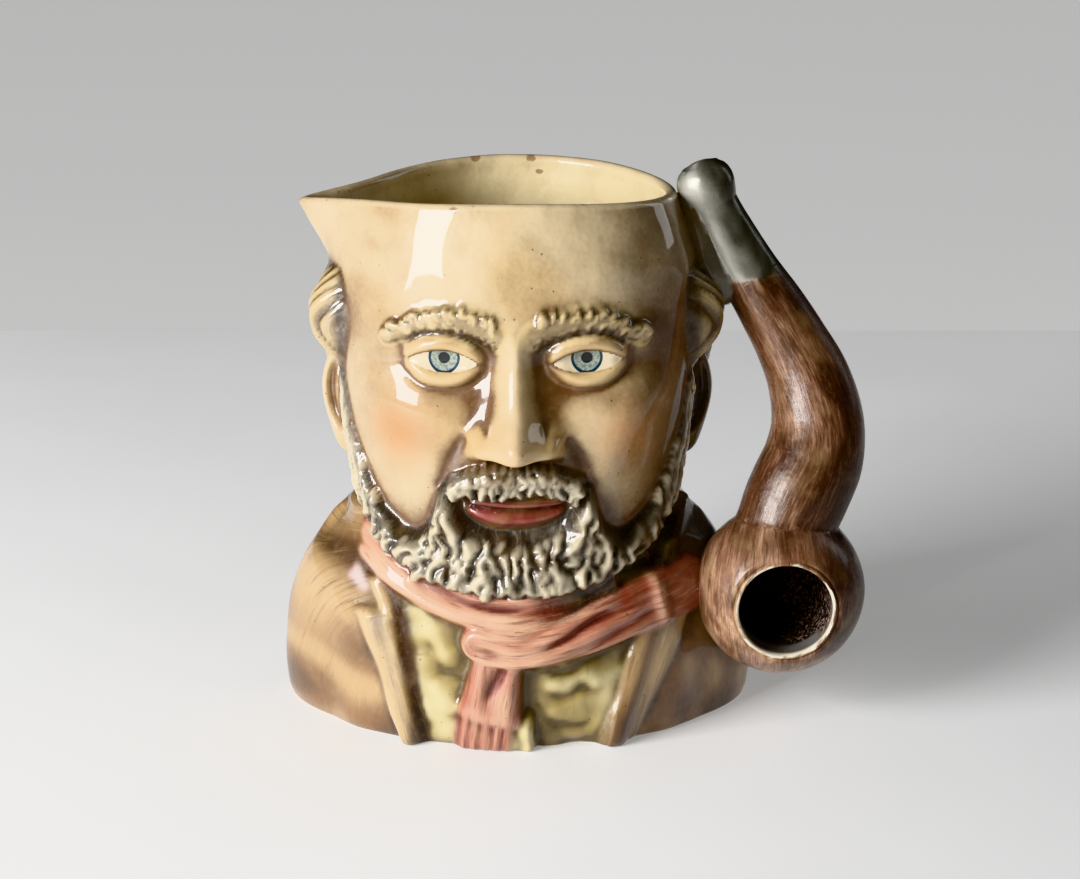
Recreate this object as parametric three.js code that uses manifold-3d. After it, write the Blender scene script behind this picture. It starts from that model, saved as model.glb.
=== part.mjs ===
// A glazed earthenware character jug: the head and shoulders of a bearded man, hollow and open at the
// top of the head, with a pouring lip on one side and a tobacco pipe for a handle on the other.
// Millimetres, +Z up. The face looks towards -Y. The lip (-X) and the pipe (+X) lie on the plane y = 0,
// and the origin is the middle of the flat underside.
import * as THREE from 'three';
import { mergeVertices } from 'three/addons/utils/BufferGeometryUtils.js';
import Module from 'manifold-3d';

const wasm = await Module();
wasm.setup();

// ---------------------------------------------------------------- driving dimensions
const RIM = 140; // height of the rim
const WALL = 5; // thickness of the cast wall
const FLOOR = 6; // thickness of the bottom
const LIP_REACH = 17.5; // how far the pouring lip stands out past the rim
const RIM_DIP = 2.2; // how far the rim sinks at the two sides
const CHIN = 40; // height of the beard's lowest tips
const SHOULDER = 26; // height where the shoulders are broadest
const EAR = { side: 44.2, back: 3, height: 82.5, reach: 7.8, thick: 4.4, tall: 15.5, flare: 24 };
const BOWL = { x: 68.2, y: -19, z: 36.6, radius: 22.2, bore: 11.9, depth: 26, mouth: -36.5 };

const COLUMNS = 64; // facets round the figure, a multiple of 32
const CAVITY_COLUMNS = 32;
const SIDE_COLUMN = 11 / 16; // share of half the columns that stands in front of the lip

const deg = THREE.MathUtils.degToRad;
const { clamp, lerp, smoothstep } = THREE.MathUtils;

// ---------------------------------------------------------------- the smooth figure
// Plan sections from the foot to the rim: height, half width, reach to the front, reach to the back,
// and how square the plan is (2 is an ellipse).
const SECTIONS = [
  [0, 60.5, 37.5, 43.5, 1.58],
  [4, 61.8, 39, 45, 1.58],
  [14, 62.3, 39.5, 45.5, 1.6],
  [SHOULDER, 60.2, 39.5, 45, 1.62],
  [36, 55, 38.5, 43.5, 1.7],
  [44, 48.8, 37, 41, 1.9],
  [51, 43.8, 35.5, 39, 2.05],
  [58, 42.2, 35.5, 38.5, 2.1],
  [68, 43, 36.5, 40, 2.15],
  [80, 44.5, 37.5, 42.5, 2.15],
  [95, 46, 38, 44.5, 2.15],
  [110, 47, 38, 46, 2.1],
  [122, 46, 37.3, 46, 2.05],
  [132, 43.3, 35.8, 44.8, 2],
  [138, 41.2, 34.6, 43.6, 2],
  [RIM, 40.5, 34, 43, 2],
];

// A smooth line through the values of a table whose rows begin with the place along it.
function along(table, at, column) {
  let i = 0;
  while (i < table.length - 2 && at > table[i + 1][0]) i++;
  const [p0, p1, p2, p3] = [i - 1, i, i + 1, i + 2].map((k) => table[clamp(k, 0, table.length - 1)]);
  const span = p2[0] - p1[0];
  const u = clamp((at - p1[0]) / span, 0, 1);
  const slope = (a, b) => ((b[column] - a[column]) / (b[0] - a[0])) * span;
  const [leave, arrive] = [slope(p0, p2), slope(p1, p3)];
  const rise = u * u * (3 - 2 * u);
  const ends = lerp(p1[column], p2[column], rise);
  return ends + u * (1 - u) * ((1 - u) * leave - u * arrive);
}

// The pouring lip: straight sides drawn out from the rim to a point, fading down the side of the head.
function lip(angle, z) {
  const off = Math.hypot(angle + Math.PI / 2, 0.035);
  const spread = deg(42);
  if (off > spread) return 0;
  const share = (1 / Math.cos(spread - off) - 1) / (1 / Math.cos(spread) - 1);
  const rise = 0.22 * smoothstep(z, 110, 126) + 0.78 * smoothstep(z, 122, 138);
  return LIP_REACH * Math.pow(share, 1.35) * rise;
}

function planRadius(angle, z) {
  const half = along(SECTIONS, z, 1);
  const reach = along(SECTIONS, z, Math.cos(angle) > 0 ? 2 : 3);
  const power = along(SECTIONS, z, 4);
  const s = Math.abs(Math.sin(angle) / half) ** power + Math.abs(Math.cos(angle) / reach) ** power;
  return s ** (-1 / power);
}

// Angle 0 is the front and grows towards +X.
function place(angle, z, radius) {
  const dip = (RIM_DIP * Math.sin(angle) ** 2 + 0.12 * lip(angle, RIM)) * smoothstep(z, 112, RIM);
  return new THREE.Vector3(radius * Math.sin(angle), -radius * Math.cos(angle), z - dip);
}

const figurePoint = (angle, z) => place(angle, z, planRadius(angle, z) + lip(angle, z));

function figureNormal(angle, z) {
  const step = 0.02;
  const [low, high] = [Math.max(z - 1, 0), Math.min(z + 1, RIM)];
  const round = figurePoint(angle + step, z).sub(figurePoint(angle - step, z));
  const up = figurePoint(angle, high).sub(figurePoint(angle, low));
  return round.cross(up).normalize();
}

// ---------------------------------------------------------------- modelling strokes
// Strokes are drawn on the front of the figure, so they are placed by x and z.
const bell = (d, r) => Math.exp(-((d / r) ** 2));
const bump = (p, x, z, rx, rz, height) => height * bell(Math.hypot((p.x - x) / rx, (p.z - z) / rz), 1);

function distanceToPath(p, path) {
  let best = Infinity;
  for (let i = 0; i + 1 < path.length; i++) {
    const [[ax, az], [bx, bz]] = [path[i], path[i + 1]];
    const [dx, dz] = [bx - ax, bz - az];
    const u = clamp(((p.x - ax) * dx + (p.z - az) * dz) / (dx * dx + dz * dz), 0, 1);
    best = Math.min(best, Math.hypot(p.x - ax - u * dx, p.z - az - u * dz));
  }
  return best;
}
const ridge = (p, path, radius, height) => height * bell(distanceToPath(p, path), radius);

// ---------------------------------------------------------------- the face
// Places on the face follow the usual thirds: chin to nose, nose to brow, brow to hairline. The head
// is five eyes wide.
const FACE = { brow: 109, eye: 101.5, nose: 78, mouth: 66, eyeApart: 17.5, eyeHalf: 8.4 };

function browRelief(side) {
  const z = FACE.brow;
  const bone = ridge(side, [[0, z - 1], [12, z], [30, z - 3]], 6, 2);
  const bush = ridge(side, [[6, z - 1], [13, z + 2], [22, z + 2.4], [31, z - 2]], 3.4, 3);
  return bone + bush * (1 + 0.2 * Math.cos(side.x * 1.3 + side.z));
}

function eyeRelief(side) {
  const across = (side.x - FACE.eyeApart) / FACE.eyeHalf;
  const arch = Math.max(1 - across * across, 0);
  const [upper, lower] = [FACE.eye + 3.8 * arch, FACE.eye - 3 * arch];
  const ends = 1 - smoothstep(Math.abs(across), 0.85, 1.25);
  const lids = 1.9 * bell(side.z - upper - 0.8, 1.7) + 1.3 * bell(side.z - lower + 0.8, 1.6);
  const ball = bump(side, FACE.eyeApart, FACE.eye, 7, 4.5, 2.4);
  const socket = bump(side, FACE.eyeApart - 2, FACE.eye, 12, 6.5, -4.4);
  return socket + ball + lids * ends;
}

function noseRelief(p, side) {
  const down = clamp((FACE.eye + 2 - p.z) / (FACE.eye + 2 - FACE.nose - 5), 0, 1);
  const under = smoothstep(p.z, FACE.nose - 2, FACE.nose + 2);
  const top = 1 - smoothstep(p.z, FACE.eye + 2, FACE.eye + 12);
  const bridge = lerp(3.4, 9.5, down) * bell(p.x, lerp(4, 6, down)) * under * top;
  const tip = bump(p, 0, FACE.nose + 5, 6.2, 5.2, 5.2) * under;
  const wings = bump(side, 7.8, FACE.nose + 3, 3.4, 4.2, 4.8) * under;
  return bridge + tip + wings;
}

function mouthRelief(p, side) {
  const muzzle = bump(p, 0, FACE.mouth + 2, 18, 11, 3);
  const corners = 1 - smoothstep(side.x, 9.5, 13.5);
  const upper = 1.7 * bell(p.z - FACE.mouth - 2 + 0.05 * side.x, 1.5);
  const lower = 2.8 * bell(p.z - FACE.mouth + 2.9, 2.5);
  return muzzle + (upper + lower - 1.2 * bell(p.z - FACE.mouth, 1)) * corners;
}

function faceRelief(p) {
  const side = { x: Math.abs(p.x), z: p.z };
  const cheek = bump(side, 27, 89, 12, 9, 3) + bump(side, 22, 76, 11, 11, 2.4);
  const furrow = -1.4 * bell(distanceToPath(side, [[12, 84], [17, 76], [20, 67]]), 2.2);
  return browRelief(side) + eyeRelief(side) + cheek + furrow + noseRelief(p, side) + mouthRelief(p, side);
}

// ---------------------------------------------------------------- beard, moustache and hair
// Edges against the angle from the front, in degrees.
const CHEEK_EDGE = [[0, 57], [14, 59], [24, 61], [34, 57], [48, 57.5], [60, 65], [68, 80], [73, 94]];
const UNDER_EAR = [[77, 94], [82, 70], [90, 66], [180, 62]];
const BEARD_TOP = [...CHEEK_EDGE, ...UNDER_EAR];
const BEARD_FOOT = [[0, CHIN], [18, CHIN + 1], [38, 44.5], [58, 51], [74, 57], [92, 61], [180, 62]];
const HAIR_TOP = [[0, 120], [66, 121], [80, 121], [120, 118], [180, 112]];
const LOCKS = 24; // locks round the beard
const LOCK_TALL = 8; // height of a row of locks

// Rows of locks: each row lies over the next one down, and its locks fill the gaps of that row.
function lockRows(angle, height) {
  const row = Math.floor(height / LOCK_TALL);
  const rise = height / LOCK_TALL - row;
  const lock = Math.cos(angle * LOCKS + Math.PI * row + 0.5 * Math.sin(height / 3));
  return 1.1 * lock + 1.1 * (0.5 - rise);
}

function beardRelief(angle, z) {
  const turn = THREE.MathUtils.radToDeg(Math.abs(angle));
  const foot = along(BEARD_FOOT, turn, 1);
  const tips = foot - 0.9 * Math.cos(angle * LOCKS);
  const top = along(BEARD_TOP, turn, 1);
  const inside = smoothstep(z, tips - 1, tips + 1.4) * (1 - smoothstep(z, top - 4, top + 1.5));
  return inside * (lerp(8, 3.4, smoothstep(turn, 0, 62)) + lockRows(angle, z - foot));
}

function moustacheRelief(side) {
  const body = ridge(side, [[1.5, 74.5], [8, 74], [15, 70.5], [19.5, 64]], 3.4, 4.2);
  return body * (1 + 0.2 * Math.cos(side.x * 1.7 - side.z * 0.9));
}

function hairRelief(angle, z) {
  const turn = THREE.MathUtils.radToDeg(Math.abs(angle));
  const top = along(HAIR_TOP, turn, 1);
  const foot = lerp(95, 60, smoothstep(turn, 88, 112));
  const front = smoothstep(turn, 66 + (z - 95) * 0.25, 76 + (z - 95) * 0.25);
  const inside = front * smoothstep(z, foot - 1, foot + 3) * (1 - smoothstep(z, top - 7, top));
  const strand = Math.cos(Math.abs(angle) * 17 + z * 0.26 + 0.9 * Math.sin(z / 7));
  return inside * (lerp(5.2, 3.4, smoothstep(turn, 95, 140)) + 1.1 * strand);
}

// ---------------------------------------------------------------- scarf, coat and jersey
// The scarf is laid out by height and by the way round the figure, in millimetres from the front.
const ROUND = 46; // radius that turns an angle into a way round
const SCARF_NECK = [[-120, 56], [-76, 66], [-55.4, 60.5], [-46.6, 52.7]];
const SCARF_LEFT = [...SCARF_NECK, [-34.8, 46], [-22, 40.5], [-3.5, 32.5]];
const SCARF_RIGHT = [[-4, 30], [8.8, 29.5], [22, 32.5], [36.4, 37], [51, 39.5]];
const SCARF_TAIL = [[-5, 25], [-9.5, 3]];

// A band of cloth with a rounded middle fold and a rolled edge.
function bandRelief(q, path, half, height) {
  const off = distanceToPath(q, path) / half;
  const cloth = 1 - smoothstep(off, 0.8, 1.15);
  return cloth * (height + 0.9 * Math.cos(off * 5.6));
}

function scarfRelief(angle, z) {
  const q = { x: angle * ROUND, z };
  const left = bandRelief(q, SCARF_LEFT, 5.5, 4.6);
  const right = bandRelief(q, SCARF_RIGHT, 7.6, 6);
  const tail = bandRelief(q, SCARF_TAIL, 8, 4.6);
  return Math.max(left, right, tail) + bump(q, -3, 31, 9, 6, 2.4);
}

// The coat opens on a narrow jersey. Each front edge is a raised, rounded strip that stands on the foot.
const OPENING = [[0, 20.5], [12, 23], [24, 26], [36, 27], [52, 34]];

function coatRelief(p) {
  const edge = along(OPENING, p.z, 1);
  const off = Math.abs(p.x) - edge;
  if (off < -1.6) return 0.9 * Math.sin(p.x / 3.1) * Math.sin(p.z / 4.5 + p.x / 9);
  const up = smoothstep(p.z, 0, 22);
  const strip = lerp(5.4, 2.2, up) * bell(off - 3.9, 3.2);
  return 2.4 * smoothstep(off, -1.6, 1.4) + strip;
}

// Round the back of the neck the coat turns over in a low collar.
const collarRelief = (z) => 2.2 * bell(z - 47, 4);

function clothRelief(p, angle) {
  const turn = Math.abs(angle);
  const front = 1 - smoothstep(turn, deg(80), deg(92));
  const shown = Math.max(coatRelief(p) * (1 - smoothstep(p.z, 50, 60)), scarfRelief(angle, p.z));
  return lerp(collarRelief(p.z), shown, front) * lerp(0.8, 1, smoothstep(p.z, 0, 2.5));
}

function relief(angle, z, p) {
  const turn = Math.abs(angle);
  const side = { x: Math.abs(p.x), z: p.z };
  const face = z > 50 ? faceRelief(p) * (1 - smoothstep(turn, deg(68), deg(80))) * smoothstep(z, 50, 62) : 0;
  const moustache = turn < deg(45) ? moustacheRelief(side) : 0;
  return Math.max(face + moustache, beardRelief(angle, z), hairRelief(angle, z), clothRelief(p, angle));
}

// The foot ring stays in the plane of the underside.
function figureSurface(angle, z) {
  const base = figurePoint(angle, z);
  const raised = base.clone().addScaledVector(figureNormal(angle, z), relief(angle, z, base));
  return z === 0 ? raised.setZ(0) : raised;
}

// ---------------------------------------------------------------- closed skins
// Joins rings of equal length into one closed skin with a fan at each end, as a manifold-3d solid.
function skin(rings) {
  const count = rings[0].length;
  const centre = (ring) => ring.reduce((sum, v) => sum.add(v), new THREE.Vector3()).divideScalar(count);
  const points = [...rings.flat(), centre(rings[0]), centre(rings[rings.length - 1])];
  const [first, last] = [points.length - 2, points.length - 1];
  const index = [];
  for (let i = 0; i < count; i++) {
    const next = (i + 1) % count;
    index.push(first, next, i);
    index.push(last, (rings.length - 1) * count + i, (rings.length - 1) * count + next);
    for (let r = 0; r + 1 < rings.length; r++) {
      const [a, b] = [r * count + i, r * count + next];
      index.push(a, b, b + count, a, b + count, a + count);
    }
  }
  const geometry = new THREE.BufferGeometry().setFromPoints(points).setIndex(index);
  return solid(geometry);
}

function solid(geometry) {
  const bare = geometry.clone();
  bare.deleteAttribute('normal');
  bare.deleteAttribute('uv');
  const merged = mergeVertices(bare, 1e-4);
  const made = new wasm.Manifold(
    new wasm.Mesh({
      numProp: 3,
      vertProperties: new Float32Array(merged.attributes.position.array),
      triVerts: new Uint32Array(merged.index.array),
    }),
  );
  return made;
}

function geometryOf(manifold) {
  const mesh = manifold.getMesh();
  const geometry = new THREE.BufferGeometry();
  geometry.setAttribute('position', new THREE.BufferAttribute(new Float32Array(mesh.vertProperties), 3));
  geometry.setIndex(new THREE.BufferAttribute(mesh.triVerts, 1));
  const flat = geometry.toNonIndexed();
  flat.computeVertexNormals();
  return flat;
}

// Even steps between the given heights, each stretch with its own count.
function heights(stretches) {
  const found = [stretches[0][0]];
  for (const [low, high, count] of stretches) {
    for (let i = 1; i <= count; i++) found.push(lerp(low, high, i / count));
  }
  return found;
}

// Columns stand closest at the face and furthest apart at the back, with one on the lip's point.
function columnAngles(count) {
  const even = (0.5 - SIDE_COLUMN ** 3) / (SIDE_COLUMN - SIDE_COLUMN ** 3);
  return Array.from({ length: count }, (_, i) => {
    const u = (2 * i) / count - 1;
    return Math.PI * lerp(u ** 3, u, even);
  });
}

function figureSolid() {
  const body = [[0, 2.5, 1], [2.5, 20, 4], [20, 60, 15]];
  const head = [[60, 92, 13], [92, 112, 10], [112, 134, 4], [134, 138.6, 2]];
  const levels = heights([...body, ...head]);
  const angles = columnAngles(COLUMNS);
  const rings = levels.map((z) => angles.map((angle) => figureSurface(angle, z)));
  const edge = angles.map((angle) => place(angle, RIM, planRadius(angle, RIM) + lip(angle, RIM) - 1.1));
  return skin([...rings, edge]);
}

function cavitySolid() {
  const levels = heights([[FLOOR, 10, 1], [10, 36, 3], [36, 58, 4], [58, 122, 4], [122, 138, 3]]);
  const angles = columnAngles(CAVITY_COLUMNS);
  const inner = (angle, z, wall) => place(angle, z, planRadius(angle, z) + 0.92 * lip(angle, z) - wall);
  const wall = (z) => WALL + 4 * (1 - smoothstep(z, FLOOR, 14));
  const rings = levels.map((z) => angles.map((angle) => inner(angle, z, wall(z))));
  const mouth = angles.map((angle) => inner(angle, RIM, WALL - 1.6));
  const above = mouth.map((v) => v.clone().setZ(RIM + 4));
  return skin([...rings, mouth, above]);
}

// ---------------------------------------------------------------- ears
function ellipsoid(size, at, turn) {
  const ball = new THREE.SphereGeometry(1, 12, 8).scale(...size).rotateZ(turn).translate(...at);
  return solid(ball);
}

function earSolids(side) {
  const turn = side * deg(EAR.flare);
  const shell = [EAR.reach, EAR.thick, EAR.tall];
  const hollow = [0.48 * EAR.reach, 0.65 * EAR.thick, 0.62 * EAR.tall];
  const pit = [side * (EAR.side + 3.6), EAR.back - EAR.thick, EAR.height + 1.5];
  return {
    shell: ellipsoid(shell, [side * EAR.side, EAR.back, EAR.height], turn),
    hollow: ellipsoid(hollow, pit, turn),
  };
}

// ---------------------------------------------------------------- the pipe
// Centre line of the pipe from mouthpiece to bowl, with its radius.
const PIPE = [
  [46.8, 0, 144.8, 3],
  [47.4, 0, 143.2, 5.6],
  [48.3, 0, 140.4, 7.3],
  [49.2, 0, 137.4, 7.4],
  [50.2, 0, 134.6, 6.6],
  [54.2, 0, 126, 7.2],
  [60.1, 0, 116, 7.9],
  [66, -1.8, 107, 8.8],
  [70.9, -3.6, 98.8, 9.5],
  [75.6, -6, 89, 10.8],
  [77.8, -9, 78.5, 12],
  [76.6, -12, 69.5, 12.9],
  [73.2, -14.6, 62, 13.2],
  [70.4, -16.2, 55.5, 13],
  [68.6, -17.6, 46, 12],
];
const PIPE_SIDES = 14;
// The clay left between the pipe and the head, from the mouthpiece down to the tuft of hair.
const WEB = [
  [43, 0, 138, 2.5],
  [45.5, 0, 133, 5],
  [48.5, 0, 124, 6],
  [52, 0, 114, 7],
  [54.5, 0, 109, 4.5],
];
const WEB_SIDES = 8;

// A closed round skin through the rows [x, y, z, radius] of a table.
function tubeSolid(table, sides) {
  const centres = table.map(([x, y, z]) => new THREE.Vector3(x, y, z));
  const rings = table.map(([, , , radius], i) => {
    const [before, after] = [centres[Math.max(i - 1, 0)], centres[Math.min(i + 1, table.length - 1)]];
    const ahead = after.clone().sub(before).normalize();
    const across = new THREE.Vector3(0, 1, 0).cross(ahead).normalize();
    const other = ahead.clone().cross(across);
    return Array.from({ length: sides }, (_, k) => {
      const t = (2 * Math.PI * k) / sides;
      const spoke = across.clone().multiplyScalar(Math.cos(t)).addScaledVector(other, Math.sin(t));
      return centres[i].clone().addScaledVector(spoke, radius);
    });
  });
  return skin(rings);
}

const BOWL_SIDES = 22;

// The bowl is turned about its own axis, which points forwards, and bored from the front.
function bowlSolids() {
  const r = BOWL.radius;
  const reach = BOWL.y - BOWL.mouth;
  const open = Math.acos(reach / r);
  const profile = [];
  const steps = 8;
  for (let i = 0; i <= steps; i++) {
    const a = lerp(Math.PI, open, i / steps);
    profile.push(new THREE.Vector2(i === 0 ? 0 : r * Math.sin(a), r * Math.cos(a)));
  }
  profile.push(new THREE.Vector2(0, reach));
  const place = (shape) => solid(shape.rotateX(Math.PI).translate(BOWL.x, BOWL.y, BOWL.z));
  const bore = [
    [0, reach - BOWL.depth],
    [BOWL.bore * 0.72, reach - BOWL.depth + 1.5],
    [BOWL.bore - 0.6, reach - BOWL.depth + 7],
    [BOWL.bore, reach + 3],
    [0, reach + 3],
  ].map(([x, y]) => new THREE.Vector2(x, y));
  const turned = (points) => place(new THREE.LatheGeometry(points, BOWL_SIDES));
  return { ball: turned(profile), bore: turned(bore) };
}

// ---------------------------------------------------------------- the whole jug
function jugSolid() {
  const ears = [earSolids(-1), earSolids(1)];
  const bowl = bowlSolids();
  let made = figureSolid();
  for (const ear of ears) made = made.add(ear.shell).subtract(ear.hollow);
  made = made.add(tubeSolid(WEB, WEB_SIDES)).add(tubeSolid(PIPE, PIPE_SIDES));
  made = made.add(bowl.ball).subtract(bowl.bore);
  return made.subtract(cavitySolid());
}

const glaze = new THREE.MeshStandardMaterial({ color: 0xcdb68a, roughness: 0.18, metalness: 0 });
const jug = new THREE.Mesh(geometryOf(jugSolid()), glaze);
jug.name = 'jug';

const root = new THREE.Group();
root.add(jug);
export default root;
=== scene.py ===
"""A glazed earthenware character jug: a bearded man's head and shoulders with a pipe for a handle.

The clay is worked out in millimetres. A place on the figure is given by its angle round the axis
(0 at the face, growing towards the pipe) and its height. Meshes are in metres, in the CAD frame.
The figure is one sheet of places, and each kind of surface is a layer that stands up from it.
"""
import math

import bpy
import numpy as np
from mathutils.kdtree import KDTree
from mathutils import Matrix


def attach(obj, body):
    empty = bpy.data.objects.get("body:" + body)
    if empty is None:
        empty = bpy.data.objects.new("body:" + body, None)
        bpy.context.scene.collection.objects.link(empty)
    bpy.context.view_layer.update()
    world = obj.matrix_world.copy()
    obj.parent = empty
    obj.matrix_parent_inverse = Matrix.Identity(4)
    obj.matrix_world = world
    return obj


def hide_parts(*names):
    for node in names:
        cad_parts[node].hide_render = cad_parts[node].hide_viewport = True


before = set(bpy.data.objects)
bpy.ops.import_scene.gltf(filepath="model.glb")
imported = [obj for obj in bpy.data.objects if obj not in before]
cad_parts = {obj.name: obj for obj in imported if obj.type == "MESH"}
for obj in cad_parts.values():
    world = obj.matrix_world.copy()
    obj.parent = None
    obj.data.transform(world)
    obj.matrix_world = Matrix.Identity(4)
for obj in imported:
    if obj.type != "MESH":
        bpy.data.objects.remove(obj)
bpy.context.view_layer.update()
MM = 0.001

# ------------------------------------------------------------------ driving sizes, as in the CAD
RIM = 140.0
WALL = 5.0
FLOOR = 6.0
LIP_REACH = 17.5
RIM_DIP = 2.2
RIM_ROUND = 1.6
CHIN = 40.0
ROUND = 46.0  # radius that turns an angle into a way round, in millimetres from the front
COLUMNS = 318
NOWHERE = -9.0  # the rise of a layer where it isn't there, well under the skin
# height, half width, reach to the front, reach to the back, power of the oval
SECTIONS = [
    (0, 60.5, 37.5, 43.5, 1.58), (4, 61.8, 39, 45, 1.58), (14, 62.3, 39.5, 45.5, 1.6),
    (26, 60.2, 39.5, 45, 1.62), (36, 55, 38.5, 43.5, 1.7), (44, 48.8, 37, 41, 1.9),
    (51, 43.8, 35.5, 39, 2.05), (58, 42.2, 35.5, 38.5, 2.1), (68, 43, 36.5, 40, 2.15),
    (80, 44.5, 37.5, 42.5, 2.15), (95, 46, 38, 44.5, 2.15), (110, 47, 38, 46, 2.1),
    (122, 46, 37.3, 46, 2.05), (132, 43.3, 35.8, 44.8, 2), (138, 41.2, 34.6, 43.6, 2),
    (140, 40.5, 34, 43, 2),
]

rng = np.random.default_rng(1740)


# ------------------------------------------------------------------ curves and falloffs
def smooth(value, low, high):
    """0 below low, 1 above high, and an even bend between them."""
    t = np.clip((np.asarray(value, float) - low) / (high - low), 0, 1)
    return t * t * (3 - 2 * t)


def fall(value, low, high):
    """1 below low and 0 above high."""
    return 1 - smooth(value, low, high)


def mix(a, b, t):
    return a + (b - a) * t


def bell(distance, radius):
    """1 at no distance, a third at the radius and soon nothing beyond it."""
    return np.exp(-((distance / radius) ** 2))


def blob(x, z, at_x, at_z, wide, tall, height):
    """A soft round lump."""
    return height * np.exp(-(((x - at_x) / wide) ** 2) - ((z - at_z) / tall) ** 2)


def along(table, at, column):
    """A smooth line through the values of a table whose rows begin with the place along it."""
    rows = np.asarray(table, float)
    at = np.asarray(at, float)
    last = len(rows) - 1
    i = np.clip(np.searchsorted(rows[:, 0], at) - 1, 0, last - 1)
    before, after = np.maximum(i - 1, 0), np.minimum(i + 2, last)
    place, value = rows[:, 0], rows[:, column]
    span = place[i + 1] - place[i]
    u = np.clip((at - place[i]) / span, 0, 1)
    leave = (value[i + 1] - value[before]) / (place[i + 1] - place[before]) * span
    arrive = (value[after] - value[i]) / (place[after] - place[i]) * span
    ends = mix(value[i], value[i + 1], u * u * (3 - 2 * u))
    return ends + u * (1 - u) * ((1 - u) * leave - u * arrive)


def smooth_path(points, steps=8):
    """Points close together on one smooth curve through the given ones."""
    p = np.asarray(points, float)
    p = np.vstack([2 * p[0] - p[1], p, 2 * p[-1] - p[-2]])
    t = np.linspace(0, 1, steps, endpoint=False)[:, None]
    made = []
    for a, b, c, d in zip(p[:-3], p[1:-2], p[2:-1], p[3:]):
        made.append(0.5 * (2 * b + (c - a) * t + (2 * a - 5 * b + 4 * c - d) * t**2
                           + (3 * b - a - 3 * c + d) * t**3))
    return np.vstack(made + [p[-2:-1]])


def beside_curve(x, z, path):
    """How far each place lies to the left of a line of points, and how far along it."""
    nearest = np.full(np.shape(x), np.inf)
    aside, onward = np.zeros(np.shape(x)), np.zeros(np.shape(x))
    run = 0.0
    for (ax, az), (bx, bz) in zip(path[:-1], path[1:]):
        dx, dz = bx - ax, bz - az
        length = math.hypot(dx, dz)
        u = np.clip(((x - ax) * dx + (z - az) * dz) / length**2, 0, 1)
        ex, ez = x - ax - u * dx, z - az - u * dz
        gap = np.hypot(ex, ez)
        near = gap < nearest
        nearest = np.where(near, gap, nearest)
        aside = np.where(near, np.sign(dx * ez - dz * ex) * gap, aside)
        onward = np.where(near, run + u * length, onward)
        run += length
    return aside, onward


def beside(x, z, points):
    """The same for a smooth curve through a few points."""
    return beside_curve(x, z, smooth_path(points))


def soft_patch(x, z, corners, soft=0.7):
    """1 inside a patch given by its corners, taken anticlockwise, fading out across its edges."""
    depth = np.full(np.shape(x), np.inf)
    for (ax, az), (bx, bz) in zip(corners, corners[1:] + corners[:1]):
        length = math.hypot(bx - ax, bz - az)
        depth = np.minimum(depth, ((bx - ax) * (z - az) - (bz - az) * (x - ax)) / length)
    return smooth(depth, -soft, soft)


def wander(x, z, size, seed):
    """Gentle unevenness from -1 to 1 with lumps of about the given size, the same on every run."""
    draw = np.random.default_rng(seed)
    total = np.zeros(np.shape(x))
    for _ in range(7):
        turn, phase = draw.uniform(0, 2 * math.pi, 2)
        pitch = draw.uniform(0.7, 1.5) * size
        total += np.sin((x * math.cos(turn) + z * math.sin(turn)) * 2 * math.pi / pitch + phase)
    return total / 3.5


# ------------------------------------------------------------------ the plain figure
def lip(angle, z):
    """How far the pouring lip is drawn out of the rim."""
    off = np.hypot(angle + math.pi / 2, 0.035)
    half = math.radians(42)
    inside = np.minimum(off, half)
    share = (1 / np.cos(half - inside) - 1) / (1 / math.cos(half) - 1)
    rise = 0.22 * smooth(z, 110, 126) + 0.78 * np.clip((z - 122) / 16.4, 0, 1) ** 1.4
    return LIP_REACH * np.where(off < half, share, 0) ** 1.35 * rise


def plan_radius(angle, z):
    """How far the plain wall stands from the axis: an oval with a power of its own at each height."""
    half = along(SECTIONS, z, 1)
    reach = np.where(np.cos(angle) > 0, along(SECTIONS, z, 2), along(SECTIONS, z, 3))
    power = along(SECTIONS, z, 4)
    total = np.abs(np.sin(angle) / half) ** power + np.abs(np.cos(angle) / reach) ** power
    return total ** (-1 / power)


def place(angle, z, radius):
    """The point at a radius, with the rim dipping towards its two sides."""
    dip = (RIM_DIP * np.sin(angle) ** 2 + 0.12 * lip(angle, RIM)) * smooth(z, 112, RIM)
    return np.stack([radius * np.sin(angle), -radius * np.cos(angle), z - dip], axis=-1)


def figure_point(angle, z):
    """A point of the plain outer wall."""
    return place(angle, z, plan_radius(angle, z) + lip(angle, z))


def figure_normal(angle, z):
    """The way out of the plain outer wall."""
    step = 0.02
    round_it = figure_point(angle + step, z) - figure_point(angle - step, z)
    up = figure_point(angle, np.minimum(z + 1, RIM)) - figure_point(angle, np.maximum(z - 1, 0))
    normal = np.cross(round_it, up)
    return normal / np.linalg.norm(normal, axis=-1, keepdims=True)


def spread(stretches):
    """Heights in even steps, each stretch with its own count."""
    found = [np.linspace(low, high, count, endpoint=False) for low, high, count in stretches]
    return np.concatenate(found + [[stretches[-1][1]]])


def column_angles():
    """Angles of the columns: close at the face, wider apart at the back."""
    fine = np.linspace(-math.pi, math.pi, 4001)
    weight = mix(1, 0.4, smooth(np.abs(fine), math.radians(80), math.radians(115)))
    share = np.concatenate([[0], np.cumsum((weight[1:] + weight[:-1]) / 2)])
    return np.interp(np.arange(COLUMNS + 1) / COLUMNS, share / share[-1], fine)


# ------------------------------------------------------------------ paints
def paint(red, green, blue):
    """A paint given as it looks, turned into light values."""
    c = np.array([red, green, blue], float)
    return np.where(c <= 0.04045, c / 12.92, ((c + 0.055) / 1.055) ** 2.4)


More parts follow.
